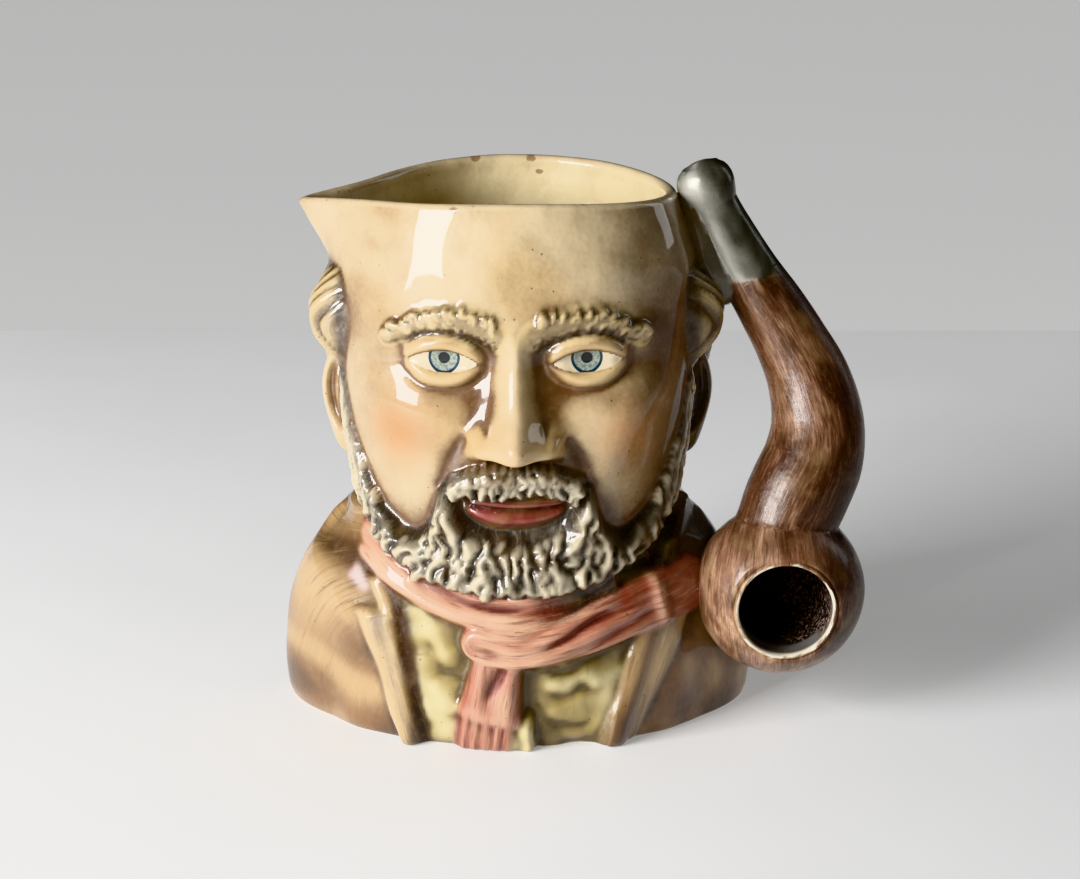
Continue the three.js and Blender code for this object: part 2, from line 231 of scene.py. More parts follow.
CREAM = paint(0.885, 0.80, 0.645)
OCHRE = paint(0.84, 0.70, 0.47)
BLUSH = paint(0.88, 0.64, 0.40)
SKIN_WASH = paint(0.38, 0.26, 0.16)
LIP_RED = paint(0.50, 0.23, 0.20)
LIP_DARK = paint(0.25, 0.09, 0.07)
BEARD_TIP = paint(0.84, 0.79, 0.68)
BEARD_WASH = paint(0.17, 0.14, 0.11)
HAIR_TIP = paint(0.86, 0.76, 0.57)
HAIR_WASH = paint(0.24, 0.18, 0.12)
SCARF = paint(0.66, 0.43, 0.34)
SCARF_PALE = paint(0.92, 0.76, 0.63)
SCARF_DEEP = paint(0.57, 0.26, 0.21)
SCARF_WASH = paint(0.36, 0.13, 0.10)
COAT = paint(0.50, 0.37, 0.24)
COAT_PALE = paint(0.79, 0.67, 0.49)
COAT_WASH = paint(0.24, 0.16, 0.10)
COAT_GREY = paint(0.60, 0.54, 0.46)
LILAC = paint(0.80, 0.72, 0.71)
LAPEL_CREAM = paint(0.88, 0.77, 0.58)
JERSEY = paint(0.66, 0.58, 0.36)
JERSEY_PALE = paint(0.84, 0.79, 0.60)
JERSEY_WASH = paint(0.34, 0.28, 0.14)
BRIAR = paint(0.47, 0.34, 0.27)
BRIAR_PALE = paint(0.70, 0.56, 0.46)
BRIAR_WASH = paint(0.20, 0.11, 0.08)
PEWTER = paint(0.60, 0.59, 0.54)
PEWTER_WASH = paint(0.26, 0.25, 0.21)
PEWTER_SHINE = paint(0.80, 0.79, 0.75)
BARE_WHITE = paint(0.92, 0.88, 0.80)
WORN_RIM = paint(0.78, 0.66, 0.52)
SOOT = paint(0.06, 0.055, 0.05)
EYE_WHITE = paint(0.88, 0.82, 0.70)
IRIS_PALE = paint(0.62, 0.65, 0.60)
IRIS_DARK = paint(0.44, 0.48, 0.45)
IRIS_RING = paint(0.05, 0.20, 0.27)
UNDERSIDE = paint(0.80, 0.74, 0.62)
INSIDE_GLAZE = paint(0.90, 0.83, 0.66)


def brush_way(across, onward, kind):
    """The way the brush went, with a number of its own for each kind of surface."""
    return np.stack([across, onward, np.full(np.shape(across), float(kind))], axis=-1)


def fade(paints, other, mask):
    """Paints that turn into another one where a mask goes from 0 to 1."""
    return mix(paints, other, mask[..., None])


class Layer:
    """One kind of surface on the sheet: how far it stands up, its paint and its wash."""

    def __init__(self, shape, light, dark, rise=NOWHERE):
        self.rise = np.full(shape, float(rise))
        self.light = np.broadcast_to(light, shape + (3,)).copy()
        self.dark = np.broadcast_to(dark, shape + (3,)).copy()
        self.wash = np.zeros(shape)
        self.streak = np.full(shape, 0.3)
        self.flow = np.zeros(shape + (3,))
        self.gloss = np.ones(shape)
        self.pool = np.ones(shape)

    def tint(self, colour, mask):
        self.light = fade(self.light, colour, np.clip(mask, 0, 1))

    def deepen(self, colour, mask):
        """Changes the dark colour that the wash in the hollows and the painted shade take."""
        self.dark = fade(self.dark, colour, mask)

    def cover(self, other, soft=0.35):
        """Lays another layer over this one wherever it stands higher."""
        on = smooth(other.rise - self.rise, -soft, soft)
        for name in ("wash", "streak", "gloss", "pool"):
            setattr(self, name, mix(getattr(self, name), getattr(other, name), on))
        for name in ("light", "dark"):
            setattr(self, name, fade(getattr(self, name), getattr(other, name), on))
        self.flow = np.where((on > 0.5)[..., None], other.flow, self.flow)
        self.rise = np.maximum(self.rise, other.rise)


# ------------------------------------------------------------------ locks of hair
LOCK_BRUSH = 40


class Comb:
    """Lays locks of hair on a layer of the sheet, each a tapered, curling roll of clay."""

    def __init__(self, layer, angle, z):
        self.layer, self.ways, self.heights = layer, angle[0] * ROUND, z[:, 0]

    def lock(self, path, half, rise, base, lift=0.5, tone=0.0, root=0.6, point=0.5, crest=0.75, groove=0.0):
        """A roll along the path. Root and point are its widths at the two ends, as shares of half."""
        curve = smooth_path(path, 4)
        centre, reach, turn = curve[:, 0].mean(), half + 0.6, math.pi * ROUND
        way = np.mod(self.ways - centre + turn, 2 * turn) - turn + centre
        columns = np.nonzero((way > curve[:, 0].min() - reach) & (way < curve[:, 0].max() + reach))[0]
        rows = np.nonzero((self.heights > curve[:, 1].min() - reach)
                          & (self.heights < curve[:, 1].max() + reach))[0]
        if len(columns) < 2 or len(rows) < 2:
            return
        x, z = np.meshgrid(way[columns], self.heights[rows])
        aside, onward = beside_curve(x, z, curve)
        v = onward / max(onward.max(), 1e-6)
        width = half * mix(root, 1, smooth(v, 0, 0.4)) * mix(1, point, smooth(v, 0.72, 1))
        across = aside / width
        shape = np.clip(1 - across**2, 0, 1) ** crest * mix(0.55, 1, smooth(v, 0, 0.35))
        grooves = 1 - groove * (0.5 - 0.5 * np.cos(across * 2 * math.pi))
        stands = base + lift * v + rise * shape * grooves
        window = np.ix_(rows, columns)
        layer = self.layer
        wins = (np.abs(across) < 1) & (stands > layer.rise[window])
        layer.rise[window] = np.where(wins, stands, layer.rise[window])
        shade = 0.98 * (1 - shape * grooves) ** 0.7 + 0.25 * fall(v, 0, 0.5) - tone
        layer.wash[window] = np.where(wins, shade, layer.wash[window])
        flow = brush_way(aside, onward, LOCK_BRUSH + 9 * rng.uniform())
        layer.flow[window] = np.where(wins[..., None], flow, layer.flow[window])

    def curl(self, top, tip, half, rise, base, bend, **more):
        """A lock that sways one way and then the other on its way down."""
        (ax, az), (bx, bz) = top, tip
        run = math.hypot(bx - ax, bz - az)
        nx, nz = (az - bz) / run, (bx - ax) / run
        places = ((0, 0), (0.3, bend), (0.65, -0.8 * bend), (1, 0.7 * bend))
        self.lock([(mix(ax, bx, s) + nx * d, mix(az, bz, s) + nz * d) for s, d in places],
                  half, rise, base, **more)


# edges of the hair: the turn from the front in degrees, and the height
CHEEK_EDGE = [(0, 58.4), (8, 58.8), (14, 60.2), (19, 63), (22, 67), (25, 71), (28, 70), (31, 65),
              (35, 59.5), (40, 56.6), (48, 57.5), (60, 66), (68, 80), (72, 94)]
BEARD_TOP = CHEEK_EDGE + [(76, 95), (80, 84), (86, 66), (180, 62)]
BEARD_FOOT = [(0, CHIN), (18, CHIN + 1), (38, 44.5), (58, 51), (70, 58), (80, 64), (90, 66), (180, 66)]
HAIR_TOP = [(0, 120), (66, 122), (80, 122), (120, 118), (180, 112)]


BEARD_BODY = [(-40, 6.9), (20, 6.9), (35, 6.2), (50, 4.9), (60, 3.5), (70, 1.9), (84, 1.0), (180, 1.0)]
WAVE_PITCH, FORK_PITCH, SCALLOP_PITCH = 4.4, 4.6, 5.0
LOCK_ROWS = [(9, 7, 0.8), (4.6, 7.5, 0.65), (0, 6.5, 0.65)]  # height over the foot, length, share left out


def beard_full(turn):
    """How far the mass of the beard stands out from the face."""
    return along(BEARD_BODY, turn, 1)


def beard_layer(angle, z, x, bare):
    """Carved waves running down the beard, heavier curls laid over them and small locks up to the ears."""
    layer = Layer(angle.shape, BEARD_TIP, BEARD_WASH)
    turn, way = np.degrees(np.abs(angle)), angle * ROUND
    foot, top = along(BEARD_FOOT, turn, 1), along(BEARD_TOP, turn, 1)
    scallop_way = way + 0.5 * wander(way, 0 * z, 17, 38)
    scallop = 1.2 * (1 - np.abs(np.cos(math.pi * scallop_way / SCALLOP_PITCH)) ** 0.7)
    mound = smooth(z, foot + scallop - 0.3, foot + scallop + 1.5)
    mound *= 1 - smooth(z, top - mix(7, 2, smooth(turn, 30, 60)), top + 1)
    _, line, corners, full = mouth_form(x, np.abs(x), z)
    mound *= 1 - corners * smooth((z - line) / full, -6.3, -5.7)
    bent = (way * (1 + 0.004 * (z - 50)) + 2.0 * wander(way * 0.8, z * 0.7, 12, 31)
            + 0.9 * wander(way, z, 6, 33))
    other = 0.75 * way + rng.choice((-1, 1)) * 0.5 * z + 1.6 * wander(way, z, 9, 37)
    crest = np.abs(np.cos(math.pi * bent / WAVE_PITCH)) ** 1.1
    fork = np.abs(np.cos(math.pi * other / FORK_PITCH)) ** 1.1
    clump = 0.5 + 0.5 * wander(way * 1.2, z * 0.8, 8, 34)
    broken = smooth(wander(way + 0.5 * z, z * 0.62, 7.5, 36), -0.7, 0.3)
    strong = mix(0.25, 1, smooth(top - z, 2.5, 8))
    lumpy = 0.55 + 0.45 * wander(way + 2 * np.sin(z * 0.4), z * 0.7, 6.5, 39)
    relief = strong * (2.2 * mix(fork, crest, broken) * mix(0.55, 1.1, lumpy) - 1.15) + 0.9 * (clump - 0.5)
    relief = mix(-0.2, relief, smooth(z - foot - scallop, 0, 2.5))
    body = bare + (beard_full(turn) - 0.6) * mound
    layer.rise = np.where((turn < 84) & (mound > 0.02), body + relief * smooth(mound, 0, 0.5), NOWHERE)
    layer.streak[:] = 1.1
    layer.flow = brush_way(bent, z, 5)
    comb = Comb(layer, angle, z)
    lay_beard_curls(comb)
    lay_side_whiskers(comb)
    above = layer.rise - np.where(mound > 0.02, body, bare)
    uneven = 0.2 * wander(angle * ROUND, z, 7, 35)
    worn = 0.98 - 0.86 * smooth(above, -1.0, 1.8)
    layer.wash = np.clip(worn + uneven + 0.35 * fall(top - z, 1, 7), 0, 1)
    layer.gloss[:] = 0.8
    return layer


def lay_beard_curls(comb):
    """Heavier curls over the waves, fewer in the top row."""
    for row, (up, long, left_out) in enumerate(LOCK_ROWS):
        for k in range(-14, 15):
            if rng.uniform() < left_out:
                continue
            way = (k + 0.5 * (row % 2)) * 4.2 + rng.uniform(-1.1, 1.1)
            at = abs(math.degrees(way / ROUND))
            low, high = float(along(BEARD_FOOT, at, 1)), float(along(BEARD_TOP, at, 1))
            tip = low + 1.6 + up + rng.uniform(-0.8, 1.4)
            length = min(long * rng.uniform(0.65, 1.15), high - mix(4, 0.5, float(smooth(at, 15, 35))) - tip)
            if length < 5.2 or at > 42:
                continue
            base = float(beard_full(at)) - 1.5
            bend = rng.choice((-1, 1)) * rng.uniform(0.4, 1.3)
            rise = mix(1.5, 1.2, float(smooth(at, 20, 60)))
            comb.curl((way * 0.95 + rng.uniform(-1, 1), tip + length), (way + rng.uniform(-1.4, 1.4), tip),
                      rng.uniform(1.5, 2.2), rise, base, bend, lift=0.3, point=0.9, crest=0.9, groove=0.15)


def lay_side_whiskers(comb):
    """Small locks from the beard up to the ears."""
    for side in (-1, 1):
        for step in range(13):
            for line in range(3):
                height = 58 + step * 2.9 + line * 0.9
                front = float(np.interp(height + 4, (57, 65, 80, 94), (50, 60, 68, 72)))
                way = math.radians(front) * ROUND + 1.2 + line * 2.7 + rng.uniform(-0.4, 0.4)
                if float(along(BEARD_TOP, math.degrees(way / ROUND), 1)) < height + 3:
                    continue
                thick = mix(1.9, 0.8, (height - 58) / 38)
                base = thick - 0.9 + 0.7 * float(smooth(70 - height, 0, 10))
                comb.curl((side * (way + 0.6), height + rng.uniform(5.5, 7)), (side * (way - 0.8), height),
                          rng.uniform(0.9, 1.25), thick, base, rng.uniform(-0.5, 0.5))


STRAND_PITCH, BACK_PITCH = 4.1, 9.0


def side_hair_layer(angle, z):
    """Hair over and behind the ears: strands swept back from the temple, the lowest curling forward
    again, and broad ridges that run down the back."""
    layer = Layer(angle.shape, HAIR_TIP, HAIR_WASH)
    turn, way = np.degrees(np.abs(angle)), np.abs(angle) * ROUND
    top = along(HAIR_TOP, turn, 1)
    foot = mix(mix(90, 99, smooth(turn, 70, 84)), 60, smooth(turn, 94, 114))
    edge = 67.5 + 0.12 * np.abs(z - 104)
    mass = (smooth(turn, edge, edge + 11) * smooth(z, foot - 1, foot + 9) ** 0.8
            * fall(z, top - 12, top))
    full = mix(6.6, 4.4, smooth(turn, 95, 130))
    turnback = mix(106, 54, smooth(way, 72, 96))
    uneven = 1.1 * wander(way, z, 23, 71) + 0.45 * wander(way, z, 9, 72)
    phase = np.sqrt((z - turnback) ** 2 + 9) + 0.95 * (way - 57) + uneven
    ridge = np.abs(np.sin(math.pi * phase / STRAND_PITCH)) ** 0.55
    fine = np.abs(np.sin(math.pi * phase / STRAND_PITCH * 3 + 1)) ** 0.6
    strong = 1 + 0.35 * wander(way, z, 15, 73)
    back = smooth(turn, 84, 104)
    round_x, round_z = 45 * np.sin(angle), z + 30 * np.cos(angle)
    drift = way + 0.40 * (z - 85) * fall(turn, 112, 172) + 2.4 * wander(round_x, round_z, 27, 75)
    ridge = mix(ridge, 0.5 - 0.5 * np.cos(2 * math.pi * drift / BACK_PITCH), back)
    fine = mix(fine, 0.5 + 0.5 * wander(round_x, z * 0.3, 5, 76), back)
    strong = strong * mix(1, 1.25, back)
    relief = 1.35 * strong * (ridge - 0.7) + 0.22 * fine
    layer.rise = np.where(mass > 0.02, full * mass + relief * smooth(mass, 0.02, 0.25) - 0.3, NOWHERE)
    layer.wash = np.clip(0.85 * (1 - ridge) ** 0.9 * strong + 0.25 * (1 - fine) - 0.05, 0, 1)
    layer.wash = np.maximum(layer.wash, 0.85 * fall(turn, edge + 2, edge + 7))
    layer.tint(COAT_GREY, 0.4 * smooth(wander(way, z, 12, 74), 0.1, 1.1))
    # The hair takes a flat wash, heavier on the right side as painted shade.
    layer.wash = np.clip(layer.wash + np.where(angle > 0, 0.5, 0.3), 0, 1)
    layer.streak[:] = 1.0
    layer.flow = brush_way(mix(phase, drift, back), mix(way, z, back), 6)
    return layer


# ------------------------------------------------------------------ the face
BROW, EYE, NOSE, MOUTH = 109.0, 101.5, 78.0, 66.0
EYE_APART, EYE_HALF = 17.5, 8.4


def eyelid_edges(side):
    """How far across the eye each place is, -1 to 1, and the heights of the two lids there."""
    across = (side - EYE_APART) / EYE_HALF
    arch = np.clip(1 - across**2, 0, 1)
    middle = EYE + 0.04 * (side - EYE_APART)
    return across, middle + 3.0 * arch**0.85, middle - 2.7 * arch**0.8


def eye_form(side, z):
    """The socket, the ball and the two lids with their crease and pouch."""
    across, upper, lower = eyelid_edges(side)
    socket = blob(side, z, EYE_APART - 2, EYE + 1, 12.5, 7.2, -4.2)
    inside = np.clip(1 - ((side - EYE_APART) / 11) ** 2 - ((z - EYE) / 7.6) ** 2, 0, 1)
    ball = 3.0 * smooth(inside, 0, 0.75)
    ends = 1 - smooth(np.abs(across), 0.95, 1.35)
    over = smooth(z - upper, -0.2, 0.5) * fall(z - upper, 2.6, 6.5)
    under = smooth(lower - z, -0.2, 0.5) * fall(lower - z, 1.0, 4.0)
    crease = -0.7 * bell(z - upper - 4.4, 0.7) * fall(np.abs(across), 0.9, 1.4)
    pouch = -0.35 * bell(lower - z - 4.6, 1) * fall(np.abs(across), 0.7, 1.3)
    return socket + ball + (1.45 * over + 0.8 * under) * ends + crease + pouch


def nose_form(x, side, z):
    """A straight bridge, a round tip, the wings and the nostrils."""
    down = np.clip((EYE + 2 - z) / (EYE + 2 - NOSE - 5), 0, 1)
    under = smooth(z, NOSE - 2.6, NOSE + 2.2)
    top = 1 - smooth(z, EYE + 2, EYE + 12)
    bridge = mix(3.4, 9.3, down) * bell(x, mix(3.9, 5.8, down)) * under * top
    tip = blob(x, z, 0, NOSE + 5, 6.2, 5.4, 5.2) * under
    wing = blob(side, z, 7.9, NOSE + 3.1, 3.4, 4.1, 5.0) * under
    groove = -0.9 * bell(np.hypot((side - 6.9) / 1.1, (z - NOSE - 6.6) / 3.2), 1)
    nostril = -2.6 * bell(np.hypot((side - 4.3) / 2.2, (z - NOSE + 0.6) / 1.3), 1)
    return bridge + tip + wing + groove + nostril


def mouth_form(x, side, z):
    """The lips and what lies round them, with the line between them, its corners and the lips' fullness."""
    muzzle = blob(x, z, 0, MOUTH + 2, 18, 11, 3.0)
    line = MOUTH - 1 + 0.006 * side**2
    corners = 1 - smooth(side, 10.5, 13.5)
    full = np.sqrt(np.clip(1 - (side / 13) ** 2, 0.02, 1))
    upper = 1.6 * bell(z - line - 1.4 * full, 1.5 * full)
    lower = 3.0 * full * bell(z - line + 2.9 * full, 2.6 * full) * (1 - 0.1 * bell(x, 1.2))
    parting = -1.2 * bell(z - line, 0.5)
    dimples = blob(side, z, 13.4, MOUTH + 0.6, 1.8, 1.8, -1.0)
    return muzzle + (upper + lower + parting) * corners + dimples, line, corners, full


def face_layer(angle, z, x):
    """The bare skin of the whole head: the face's forms, its blushes, its lips and the shaded sides."""
    side = np.abs(x)
    layer = Layer(angle.shape, CREAM, SKIN_WASH, 0)
    turn, slant = np.degrees(np.abs(angle)), z + 9 * np.cos(angle)
    furrow, onward = beside(side, z, [(11, 84), (15.5, 78), (18, 71)])
    fold = -0.9 * bell(furrow, 1.9) * smooth(onward, 0, 3)
    bone, _ = beside(side, z, [(0, BROW - 1), (12, BROW), (30, BROW - 3)])
    mouth, line, corners, full = mouth_form(x, side, z)
    form = (1.6 * bell(bone, 6) + eye_form(side, z) + nose_form(x, side, z) + mouth + fold
            + blob(side, z, 27, 89, 12, 9, 3) + blob(side, z, 22, 76, 11, 11, 2.4)
            + blob(x, z, 0, 124, 26, 12, 0.7) + blob(side, z, 37, 112, 7, 12, -0.8))
    shown = fall(turn, 66, 76) * smooth(z, 50, 62)
    layer.rise = form * shown + 0.2 * wander(x, slant, 17, 5)
    layer.rise += 0.22 * wander(x, slant, 34, 8)
    cloud = wander(x, slant, 30, 6)
    layer.tint(OCHRE, 0.5 * smooth(cloud, -0.2, 1.1))
    layer.tint(OCHRE, 0.7 * (blob(side, z, EYE_APART, EYE + 1, 15, 9, 1) + blob(side, z, 10, 82, 6, 9, 1)))
    layer.tint(BLUSH, 0.9 * blob(side, z, 28, 83, 8, 9, 1) + 0.25 * blob(x, z, 0, 82, 6, 5, 1))
    lips = corners * smooth((z - line) / full, -5.7, -5.0) * fall((z - line) / full, 2.2, 2.9)
    layer.tint(LIP_RED, lips * shown)
    layer.deepen(LIP_DARK, lips * shown)
    nostril = np.hypot((side - 4.3) / 2.6, (z - NOSE + 0.6) / 1.8)
    temple = blob(side, z, 35, 100, 5, 14, 1)
    across, upper, _ = eyelid_edges(side)
    lash = 0.95 * bell(z - upper + 0.1, 0.42) * fall(np.abs(across), 0.95, 1.12)
    layer.wash = shown * (lash + 0.55 * bell(furrow, 2.4) * smooth(onward, 0, 5)
                          + 0.9 * lips * bell(z - line, 0.5)
                          + 0.6 * blob(side, z, EYE_APART - 3, EYE + 6.4, 11, 2.4, 1)
                          + 0.4 * blob(side, z, EYE_APART - 1, EYE - 8, 12, 3, 1) + 0.2 * temple
                          + 0.45 * blob(side, z, 9.5, EYE - 3, 2.6, 9, 1) + 0.85 * bell(nostril, 1))
    # Painted shade: the sides of the head take more wash, the right side over twice as much as the left, and
    # the face a little more towards the right.
    layer.wash += (np.where(x > 0, 0.50, 0.22) * smooth(turn, 24, 62) * fall(turn, 110, 130)
                   + 0.20 * smooth(cloud, -0.5, 1.2))
    layer.wash += 0.09 * smooth(wander(x, slant, 11, 10), -0.2, 1) + 0.07 + 0.06 * smooth(x, -8, 8)
    layer.wash += 0.12 * smooth(z, 131, 138.4) * smooth(wander(x, z * 3, 20, 9), -0.3, 1)
    return layer


def eyeball_mask(angle, z, x):
    """1 where the eyeball shows between the lids."""
    across, upper, lower = eyelid_edges(np.abs(x))
    open_part = smooth(upper - z, -0.3, 0.5) * smooth(z - lower, -0.3, 0.5)
    return open_part * smooth(upper - z, 0.0, 0.5) * (np.abs(across) < 1.02) * (np.abs(angle) < 1)


BROW_LINE = [(5.5, BROW - 0.5), (13, BROW + 2.2), (22, BROW + 2.2), (31.5, BROW - 3)]


def brow_layer(angle, z, x, under):
    """A soft band over each eye with three rows of short locks that lean outwards."""
    layer = Layer(angle.shape, HAIR_TIP, HAIR_WASH)
    aside, onward = beside(np.abs(x), z, BROW_LINE)
    half = mix(3.7, 1.8, smooth(onward, 12, 28)) * (1 + 0.15 * wander(x, z, 7, 77))
    body = 1.5 * bell(aside / half, 0.75) * fall(np.abs(aside) / half, 1, 1.6)
    layer.rise = np.where(body > 0.03, under + body, NOWHERE)
    layer.wash = 0.65 * smooth(body, 0.1, 0.8)
    layer.flow = brush_way(aside, onward, 7)
    comb = Comb(layer, angle, z)
    curve = smooth_path(BROW_LINE, 10)
    for side in (-1, 1):
        for row in (2, 1, 0):
            for k in range(10):
                share = (k + 0.5 * (row % 2) + rng.uniform(-0.4, 0.4)) / 10
                at = curve[int(np.clip(share * (len(curve) - 1), 0, len(curve) - 1))]
                way = side * ROUND * math.asin(min(at[0] / 41.5, 0.99))
                height = at[1] + (row - 1.6) * mix(1.7, 0.9, share) + rng.uniform(-0.3, 0.3)
                out = mix(0.6, 3.6, share) * side + rng.uniform(-0.5, 0.5)
                up = mix(3.4, 0.6, share) + rng.uniform(-0.4, 0.4)
                i = np.argmin(np.abs(z[:, 0] - height))
                j = np.argmin(np.abs(angle[0] * ROUND - way))
                comb.curl((way, height), (way + out, height + up), rng.uniform(1.1, 1.6), 0.75,
                          float(under[i, j]) + 0.75, rng.uniform(-0.5, 0.5), lift=0.3, root=0.8,
                          point=0.8, crest=1.1, tone=rng.uniform(-0.4, -0.1))
    return layer


MOUSTACHE_LINE = [(0, 72.6), (7, 72.4), (13, 71), (17, 68)]


def moustache_layer(angle, z, x, under):
    """A drooping roll on each side with two rows of locks over it."""
    layer = Layer(angle.shape, BEARD_TIP, BEARD_WASH)
    aside, onward = beside(np.abs(x), z, MOUSTACHE_LINE)
    body = 3.2 * fall(np.abs(aside), 1.6, 3.6) * fall(onward, 13, 17)
    layer.rise = np.where(body > 0.1, under + body, NOWHERE)
    layer.wash = 0.88 * smooth(body, 0.3, 2.2)
    layer.flow = brush_way(x, z, 8)
    comb = Comb(layer, angle, z)
    curve = smooth_path(MOUSTACHE_LINE, 10)
    for side in (-1, 1):
        for row in (1, 0):
            for k in range(7):
                share = (k + 0.25 + 0.5 * row + rng.uniform(-0.15, 0.15)) / 7.6
                at = curve[int(share * (len(curve) - 1))]
                way = side * ROUND * math.asin(at[0] / 46)
                out = mix(0.3, 2.6, share) * side + rng.uniform(-0.4, 0.4)
                top, drop = at[1] + 3.4 - row * 0.4, mix(7.2, 5.4, share) - row * 2.6
                comb.curl((way, top), (way + out, top - drop + rng.uniform(-0.4, 1.2)),
                          rng.uniform(1.0, 1.8), rng.uniform(1.2, 1.9), 5.5, rng.uniform(-1.1, 1.1),
                          lift=0.6, tone=rng.uniform(-0.6, -0.15), point=0.8)
    return layer


# ------------------------------------------------------------------ scarf, coat and jersey
# middles of the bands: the way round from the front, and the height
SCARF_LEFT = [(-170, 51.5), (-120, 51.5), (-80, 49.5), (-64, 49.5), (-54, 50.6), (-46.6, 49.6),
              (-34.8, 44.8), (-22, 40.2), (-12, 37.6), (-2, 36.8), (9, 38), (22, 41), (36, 46), (50, 51)]
SCARF_RIGHT = [(-11, 29.6), (0, 28.6), (9, 29.8), (22, 32.8), (36.4, 36.2), (52, 38.8)]
SCARF_NAPE = [(50, 43), (62, 48), (80, 51), (120, 51.5), (170, 51.5)]
SCARF_TAIL = [(-5, 26), (-9.5, 1.5)]
# along a band: how far it stands up, and its half width
LEFT_HEIGHT = [(0, 3.6), (50, 3.6), (68, 3.2), (78, 0.3), (110, 0.3), (119, 2.1), (128, 3.3), (138, 4.2),
               (230, 4.2)]
RIGHT_HALF = [(0, 5.0), (13, 5.8), (22, 6.6), (36, 7.2), (66, 7.4)]
# folds, each a ridge from one place to another: onward start, across start, onward end, across end,
# width, rise. Across is -1 to 1 over the band.
LEFT_FOLDS = [(0, -0.55, 190, -0.5, 0.28, 1.0), (0, 0.05, 120, 0.1, 0.25, 0.9),
              (0, 0.6, 190, 0.65, 0.25, 0.8), (100, 0.4, 140, -0.05, 0.22, 1.0),
              (128, -0.45, 170, -0.1, 0.2, 0.7), (128, 0.5, 172, 0.3, 0.2, -0.7)]
NAPE_FOLDS = [(0, -0.6, 140, -0.5, 0.28, 1.0), (0, 0.0, 140, 0.1, 0.25, 0.9), (0, 0.6, 140, 0.6, 0.25, 0.8)]
RIGHT_FOLDS = [(2, -0.75, 46, -0.1, 0.24, 1.5), (8, -0.1, 40, 0.75, 0.25, 1.4),
               (30, -0.75, 50, -0.7, 0.2, 0.8), (0, 0.45, 16, 0.8, 0.22, 1.1),
               (-2, -0.2, 12, -0.3, 0.2, -0.6), (20, -0.05, 37, 0.35, 0.17, -1.4),
               (16, -0.45, 34, 0.0, 0.2, 0.6), (32, -0.5, 49, -0.2, 0.18, -1.1)]
TAIL_FOLDS = [(2, -0.5, 15, -0.25, 0.34, 1.2), (-2, 0.45, 12, -0.15, 0.17, -1.7),
              (0, 0.6, 14, 0.55, 0.22, 0.8)]
CUFF_AT, FRINGE_AT = 53, 16.2


def cloth_band(shape, aside, onward, half, height, folds):
    """A band of scarf with rolled edges, its folds and its streaked paint."""
    layer = Layer(shape, SCARF, SCARF_WASH)
    q = aside / half
    body = height * np.clip(1 - np.abs(q) ** 5, 0, 1) ** 0.5
    height = np.maximum(height, 0.1)
    relief = np.zeros(shape)
    for start, start_q, end, end_q, width, rise in folds:
        centre = mix(start_q, end_q, smooth(onward, start, end))
        ends = smooth(onward, start - 5, start + 3) * fall(onward, end - 3, end + 5)
        relief += rise * bell((q - centre) / width, 1) * ends
    relief = (relief + 0.10 * wander(onward, aside * 2, 9, 40)) * np.clip((height - 1.4) / 2, 0, 1)
    rise = body + relief * smooth(body, 0.2 * height, 0.8 * height)
    layer.rise = np.where(np.abs(q) < 0.995, rise, NOWHERE)
    tone = wander(onward * 0.5, aside * 2.4, 11, 42)
    # Painted shade: deeper red in the hollows of the folds.
    layer.tint(SCARF_DEEP, 0.85 * smooth(0.2 - relief, -0.5, 0.5) * smooth(tone, -0.9, 0.6))
    middle = smooth(wander(onward * 0.3, aside * 1.5, 10, 44), -0.8, 0.6)
    layer.tint(SCARF_PALE, 0.8 * bell(q + 0.15, 0.5) * middle)
    layer.tint(SCARF_DEEP, 0.65 * smooth(np.abs(q), 0.6, 0.95) * smooth(tone, -1.2, 0.3))
    layer.tint(SCARF_DEEP, 0.75 * smooth(wander(onward * 0.35, aside * 3.2, 9, 43), 0.15, 0.9))
    # Painted highlight: paler on the tops of the folds.
    layer.tint(SCARF_PALE, smooth(relief, 0.0, 0.65) * smooth(tone, -1.2, 0.3))
    layer.wash = 0.6 * smooth(-relief, 0.1, 1.0) + 0.3 * smooth(np.abs(q), 0.75, 1)
    layer.wash += 0.3 * smooth(tone, 0.1, 1.2)
    layer.streak[:] = 1.9
    layer.flow = brush_way(aside, onward, 0)
    return layer


